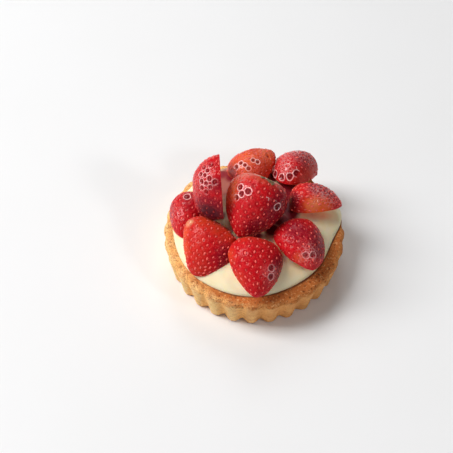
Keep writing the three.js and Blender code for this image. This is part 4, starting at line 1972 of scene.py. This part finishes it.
@dataclass(frozen=True)
class PastryCase:
    """The fluted case, baked in a tin.

    Attributes:
        base_radius, rim_radius: Over the flute ridges, at the table and at the widest.
        height, base_chamfer: Of the rim and of the lower edge.
        shoulder, rim_roll: Where the wall starts to roll over, and that roll's width.
        flutes, flute_turn: Their number, and the first ridge's turn from -Y towards +X.
        flute_depths, flute_power: At the base and at the rim, and the valleys' narrowness.
        sags: Count, height and start of the waves in the rim's height.
        bed: Radius and height of the hollow.
        bake_and_shade: Heading of the side that is browned most, partly by the oven and partly as
            painted shade away from the main light.
        toe: Inset and height of the lower edge's upper corner.
        roll_out, roll_swell, roll_power: Fullness of the roll.
        rim_span: Heights from the shoulder between which the rim's crumb begins.
        crumb_size, grit: Width of the crumb's largest lumps, and its finest layer.
        crumb_heights: Of the wall's crumb, and what the rim adds.
        pit_spacing, pit_depth: Of the pits.
        pit_sizes: Least radius of a pit, and what its own number adds.
        pit_least, wall_pits: Number that makes a pit, and the wall's share of its depth.
        settled, foot_height: Heights from which crumb is full, and of the browned foot.
        contact_shadow_strength, contact_shadow_width: Of the painted contact shadow along the
        cream, and what the browned side, away from the main light, adds.
        steps, row_step: Corners round the case, and distance between the rings.
        crease: Degrees at which an edge stays sharp.
        grain: The case's own noise.
    """

    base_radius: float = 42.0
    rim_radius: float = 45.0
    height: float = 20.3
    base_chamfer: float = 0.9
    shoulder: float = 16.6
    rim_roll: float = 3.2
    flutes: int = 28
    flute_turn: float = math.radians(-2.1)
    flute_depths: Pair = (2.6, 0.9)
    flute_power: float = 1.5
    sags: tuple[tuple[int, float, float], ...] = ((3, 0.16, 0.7), (5, 0.11, 2.1), (11, 0.08, 0.0))
    bed: Pair = (34.0, 11.0)
    bake_and_shade: float = math.radians(-40.0)
    toe: Pair = (0.25, 0.3)
    roll_out: float = 0.12
    roll_swell: float = 0.62
    roll_power: float = 0.9
    rim_span: Pair = (-1.2, 2.2)
    crumb_size: float = 2.6
    crumb_heights: Pair = (0.10, 0.10)
    grit: Layer = (0.06, 0.9, 7)
    pit_spacing: float = 1.7
    pit_depth: float = 0.38
    pit_sizes: Pair = (0.30, 0.45)
    pit_least: float = 0.45
    wall_pits: float = 0.12
    settled: float = 1.2
    foot_height: float = 2.6
    contact_shadow_strength: Pair = (0.15, 0.85)
    contact_shadow_width: Pair = (0.6, 0.9)
    steps: int = 784
    row_step: float = 0.34
    crease: float = 70.0
    grain: Grain = Grain(17)

    def profile(self) -> tuple[Array, Array]:
        """Draws the outside from the table to the inner edge of the rim.

        Returns:
            Radii and heights of the rows.
        """
        lean = (self.rim_radius - self.base_radius) / self.height
        inset, toe = self.toe
        chamfer = [(self.base_radius - self.base_chamfer, 0.0), (self.base_radius - inset, toe)]
        wall = [
            (self.base_radius + lean * h, h)
            for h in np.linspace(self.base_chamfer, self.shoulder, WALL_POINTS)
        ]
        start = self.base_radius + lean * self.shoulder
        crown = self.rim_radius + self.roll_out - self.rim_roll
        roll = []
        for a in np.linspace(0.0, 0.5 * math.pi, ROLL_POINTS)[1:]:
            out = start - crown + self.roll_swell * math.sin(2.0 * a)
            high = self.shoulder + (self.height - self.shoulder) * math.sin(a)
            roll.append((crown + out * math.cos(a) ** self.roll_power, high))
        line = np.array([*chamfer, *wall, *roll, (self.bed[0], self.height)])
        length = np.sum(np.linalg.norm(np.diff(line, axis=0), axis=1))
        spaced = evenly(line, (1.0, 1.0), int(length / self.row_step))
        return spaced[:, 0], spaced[:, 1]

    def valley(self, angle: Array) -> Array:
        """Returns how far the wall stands in, from 0 on a ridge to 1 in a valley."""
        wave = 0.5 - 0.5 * np.cos(self.flutes * (angle + 0.5 * math.pi - self.flute_turn))
        return wave**self.flute_power

    def sag(self, angle: Array) -> Array:
        """Returns the hand-baked unevenness of the rim, never above zero."""
        return sum(size * (np.sin(count * angle + start) - 1.0) for count, size, start in self.sags)

    def contact_shadow(self, points: Array, cream: Cream) -> Array:
        """Finds the painted contact shadow where the cream's foot meets the rim, widest on the
        browned side, away from the main light.

        Args:
            points: Points of the case, three columns.
            cream: The mound on it.

        Returns:
            Strength of the painted shadow, from 0 to 1.
        """
        dx, dy = points[:, 0] - cream.offset[0], points[:, 1] - cream.offset[1]
        angle = np.arctan2(dy, dx)
        baked = ease(-0.5, 0.9, np.cos(angle - self.bake_and_shade))
        gap = np.hypot(dx, dy) - cream.reach(angle)
        top = ease(self.shoulder + 0.5, self.shoulder + 2.5, points[:, 2])
        least, more = self.contact_shadow_strength
        narrow, wider = self.contact_shadow_width
        return (least + more * baked) * top * ease(1.0, 0.0, gap / (narrow + wider * baked))

    def shell(self, cream: Cream) -> Shell:
        """Shapes the case with its crumb and pits.

        Args:
            cream: The mound of cream on it.

        Returns:
            Its closed surface.
        """
        radius, height = self.profile()
        r, a = np.meshgrid(radius, around(self.steps), indexing="ij")
        h = np.repeat(height[:, None], self.steps, axis=1)
        valley = self.valley(a)
        low, high = self.flute_depths
        climb = np.minimum(h / self.shoulder, 1.0)
        fade = np.minimum(self.height - h, 1.0)
        r = r - fade * (low + (high - low) * climb) * valley
        h = h + np.where(h > self.shoulder, self.sag(a), 0.0)
        points = np.stack([r * np.cos(a), r * np.sin(a), h], axis=-1)
        flat = points.reshape(-1, 3)
        first, last = self.rim_span
        band = ease(self.shoulder + first, self.shoulder + last, h.ravel())
        relief, pit = self._relief(flat, band)
        inward = ease(self.rim_radius - 1.0, self.rim_radius - 6.0, r.ravel())
        shades = {
            "band": band,
            "brown": band * (0.45 + 0.55 * inward),
            "foot": ease(self.foot_height, 0.0, flat[:, 2]),
            "pit": pit,
            "ridge": (1.0 - valley).ravel(),
            # Painted shade beside real oven browning: this mask darkens the side away from the main
            # light.
            "bake_and_shade": ease(-0.6, 1.0, np.cos(a.ravel() - self.bake_and_shade)),
            "contact_shadow": self.contact_shadow(flat, cream),
        }
        corners, faces = self._closed(flat + self._facing(points) * relief[:, None])
        rest = (self.steps, len(corners) - self.steps - len(flat))
        return Shell(corners, faces, {key: np.pad(shade, rest) for key, shade in shades.items()})

    def _facing(self, points: Array) -> Array:
        """Returns outward normals over a grid of points of the outside, one a row."""
        down = np.gradient(points, axis=0)
        over = np.roll(points, -1, axis=1) - np.roll(points, 1, axis=1)
        facing = unit(np.cross(over, down)).reshape(-1, 3)
        away = points.reshape(-1, 3) * np.array([1.0, 1.0, 2.0])
        return facing * np.sign(np.sum(facing * away, axis=1))[:, None]

    def _relief(self, points: Array, band: Array) -> tuple[Array, Array]:
        """Works out the crumb and the pits.

        Args:
            points: Points of the smooth outside, three columns.
            band: How far over the rim they are, from 0 to 1.

        Returns:
            Height of the crust over them in millimetres, and how deep in a pit they are,
            from 0 to 1.
        """
        crumb = self.grain.layered(points, self.crumb_size, 3)
        gap, own = self.grain.spots(points, self.pit_spacing)
        small, more = self.pit_sizes
        is_pit = np.where(own > self.pit_least, 1.0, 0.0)
        share = is_pit * (self.wall_pits + (1.0 - self.wall_pits) * band)
        pit = share * ease(1.0, 0.3, gap / (small + more * own))
        low, high = self.crumb_heights
        grit = self.grain.swell(points, (self.grit,))
        relief = (low + high * band) * crumb + grit - self.pit_depth * pit
        return relief * ease(0.0, self.settled, points[:, 2]), pit

    def _closed(self, outside: Array) -> tuple[Array, list[Array]]:
        """Closes the outside with the underside and the hollow.

        Args:
            outside: Corners of the outside, ring by ring.

        Returns:
            All corners, with one ring of the underside first, and the faces.
        """
        angle = around(self.steps)
        ring = np.stack([np.cos(angle), np.sin(angle)], axis=1)
        bed, floor = self.bed
        foot = 0.5 * (self.base_radius - self.base_chamfer)
        under = np.column_stack([foot * ring, np.zeros(self.steps)])
        inner = [np.column_stack([r * ring, np.full(self.steps, floor)]) for r in (bed, 0.5 * bed)]
        poles = np.array([[0.0, 0.0, floor], [0.0, 0.0, 0.0]])
        corners = np.concatenate([under, outside, *inner, poles])
        top, bottom = len(corners) - 2, len(corners) - 1
        index = wrapped(np.arange(top).reshape(-1, self.steps))
        return corners, [quads(index), fan(top, index[-1]), fan(bottom, index[0, ::-1])]

    def dress(self, cream: Cream, finish: PastryFinish) -> None:
        """Builds the case round a mound of cream and gives it its finish."""
        piece = self.shell(cream).build("pastry_shell", self.crease)
        present(piece, finish.build())
        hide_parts("pastry_case")


# ------------------------------------------------------------------- studio


@dataclass(frozen=True)
class SoftLight:
    """A soft light with a straight-edged face, such as a window.

    Attributes:
        name: Its name.
        heading: Degrees from +X towards +Y.
        elevation: Degrees over the table.
        distance: From the tart, in metres.
        size: Width and height of its face, in metres.
        power: In watts.
        colour: Of its light.
    """

    name: str
    heading: float
    elevation: float
    distance: float
    size: Pair
    power: float
    colour: Colour = (1.0, 1.0, 1.0)

    def build(self) -> None:
        """Adds the light, aimed at the tart."""
        data = bpy.data.lights.new(self.name, "AREA")
        data.shape = "RECTANGLE"
        data.size, data.size_y = self.size
        data.energy = self.power
        data.color = self.colour
        lamp = bpy.data.objects.new(self.name, data)
        bpy.context.scene.collection.objects.link(lamp)
        head, rise = math.radians(self.heading), math.radians(self.elevation)
        away = Vector(
            (math.cos(head) * math.cos(rise), math.sin(head) * math.cos(rise), math.sin(rise))
        )
        lamp.location = Vector(TART_MIDDLE) + away * self.distance
        lamp.rotation_euler = away.to_track_quat("Z", "Y").to_euler()


@dataclass(frozen=True)
class Studio:
    """The table, the lights and the camera.

    Attributes:
        aim: Point of the table that the camera looks at, in millimetres.
        elevation: Of the camera over the table, in degrees.
        distance: Of the camera from its aim, in millimetres.
        lens, sensor: Focal length and width of the sensor, in millimetres.
        clip: Nearest and farthest that the camera sees, in metres.
        table: Width and thickness of the table top, in millimetres.
        ambient: Least and most strength of the light from all round.
        bright_side: Direction that most of it comes from.
        lights: The soft lights.
    """

    aim: Pair = (-13.57, 15.83)
    elevation: float = 54.7
    distance: float = 450.0
    lens: float = 68.32
    sensor: float = 36.0
    clip: Pair = (0.02, 10.0)
    table: Pair = (2400.0, 10.0)
    ambient: Pair = (0.03, 0.13)
    bright_side: Triple = (-0.75, 0.35, 0.55)
    lights: tuple[SoftLight, ...] = (
        SoftLight("window_left", 172.0, 47.5, 1.60, (0.62, 1.20), 27.4),
        SoftLight("window_back", 92.0, 44.0, 1.50, (0.60, 0.60), 4.4),
        SoftLight("lamp_right", -35.0, 38.0, 0.70, (0.09, 0.09), 0.76),
        SoftLight("fill_left", -122.0, 20.0, 1.40, (2.00, 0.70), 3.0),
    )

    def build(self, finish: TableFinish) -> None:
        """Builds everything round the tart."""
        self._table(finish)
        for light in self.lights:
            light.build()
        self._surroundings()
        self._camera()

    def _table(self, finish: TableFinish) -> None:
        """Lays the table, a thin closed slab."""
        width, thickness = self.table
        ring = np.array([(-0.5, -0.5), (0.5, -0.5), (0.5, 0.5), (-0.5, 0.5)]) * width
        levels = (0.0, -thickness)
        corners = np.concatenate([np.column_stack([ring, np.full(4, z)]) for z in levels])
        side = [[i, (i + 1) % 4, (i + 1) % 4 + 4, i + 4] for i in range(4)]
        slab = Shell(corners, [np.array([[3, 2, 1, 0], [4, 5, 6, 7], *side])])
        piece = slab.build("table_top", 30.0)
        piece.data.materials.append(finish.build())

    def _surroundings(self) -> None:
        """Lights the scene softly from all round, most from the bright side."""
        world = bpy.data.worlds.new("soft_room")
        recipe = Recipe(world)
        way = recipe.node("ShaderNodeTexCoord", output="Generated")
        toward = tuple(Vector(self.bright_side).normalized())
        side = recipe.node(
            "ShaderNodeVectorMath", {"operation": "DOT_PRODUCT"}, {0: way, 1: toward}, "Value"
        )
        low, high = self.ambient
        strength = ((side * 0.5 + 0.5) ** 2.0).share(low, high - low)
        sky = recipe.node(
            "ShaderNodeBackground", None, {"Color": (1.0, 1.0, 1.0), "Strength": strength}
        )
        recipe.close("ShaderNodeOutputWorld", sky)
        bpy.context.scene.world = world

    def _camera(self) -> None:
        """Places the camera."""
        data = bpy.data.cameras.new("tart_camera")
        data.sensor_width = self.sensor
        data.lens = self.lens
        data.clip_start, data.clip_end = self.clip
        camera = bpy.data.objects.new("tart_camera", data)
        bpy.context.scene.collection.objects.link(camera)
        rise = math.radians(self.elevation)
        back = Vector((0.0, -math.cos(rise), math.sin(rise)))
        aim = Vector((self.aim[0], self.aim[1], 0.0)) * MM
        camera.location = aim + back * self.distance * MM
        camera.rotation_euler = back.to_track_quat("Z", "Y").to_euler()
        bpy.context.scene.camera = camera
        bpy.context.scene.view_settings.view_transform = "Standard"


# --------------------------------------------------------------------- main


def main() -> None:
    """Builds the tart and its studio, and notes the sizes."""
    logging.basicConfig(level=logging.INFO, format="%(name)s: %(message)s")
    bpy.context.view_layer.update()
    cream = Cream()
    skin, seed = BerryFinish().build(), SeedFinish().build()
    beds = [berry.dress(cream, skin, seed) for berry in (CENTRE_BERRY, *HALF_BERRIES)]
    leaf = LeafFinish().build()
    for number, sepal in enumerate(SEPALS, start=1):
        sepal.dress(number, CENTRE_BERRY, cream, leaf)
    cream.dress(beds, CreamFinish())
    PastryCase().dress(cream, PastryFinish())
    Studio().build(TableFinish())


if __name__ == "__main__":
    main()
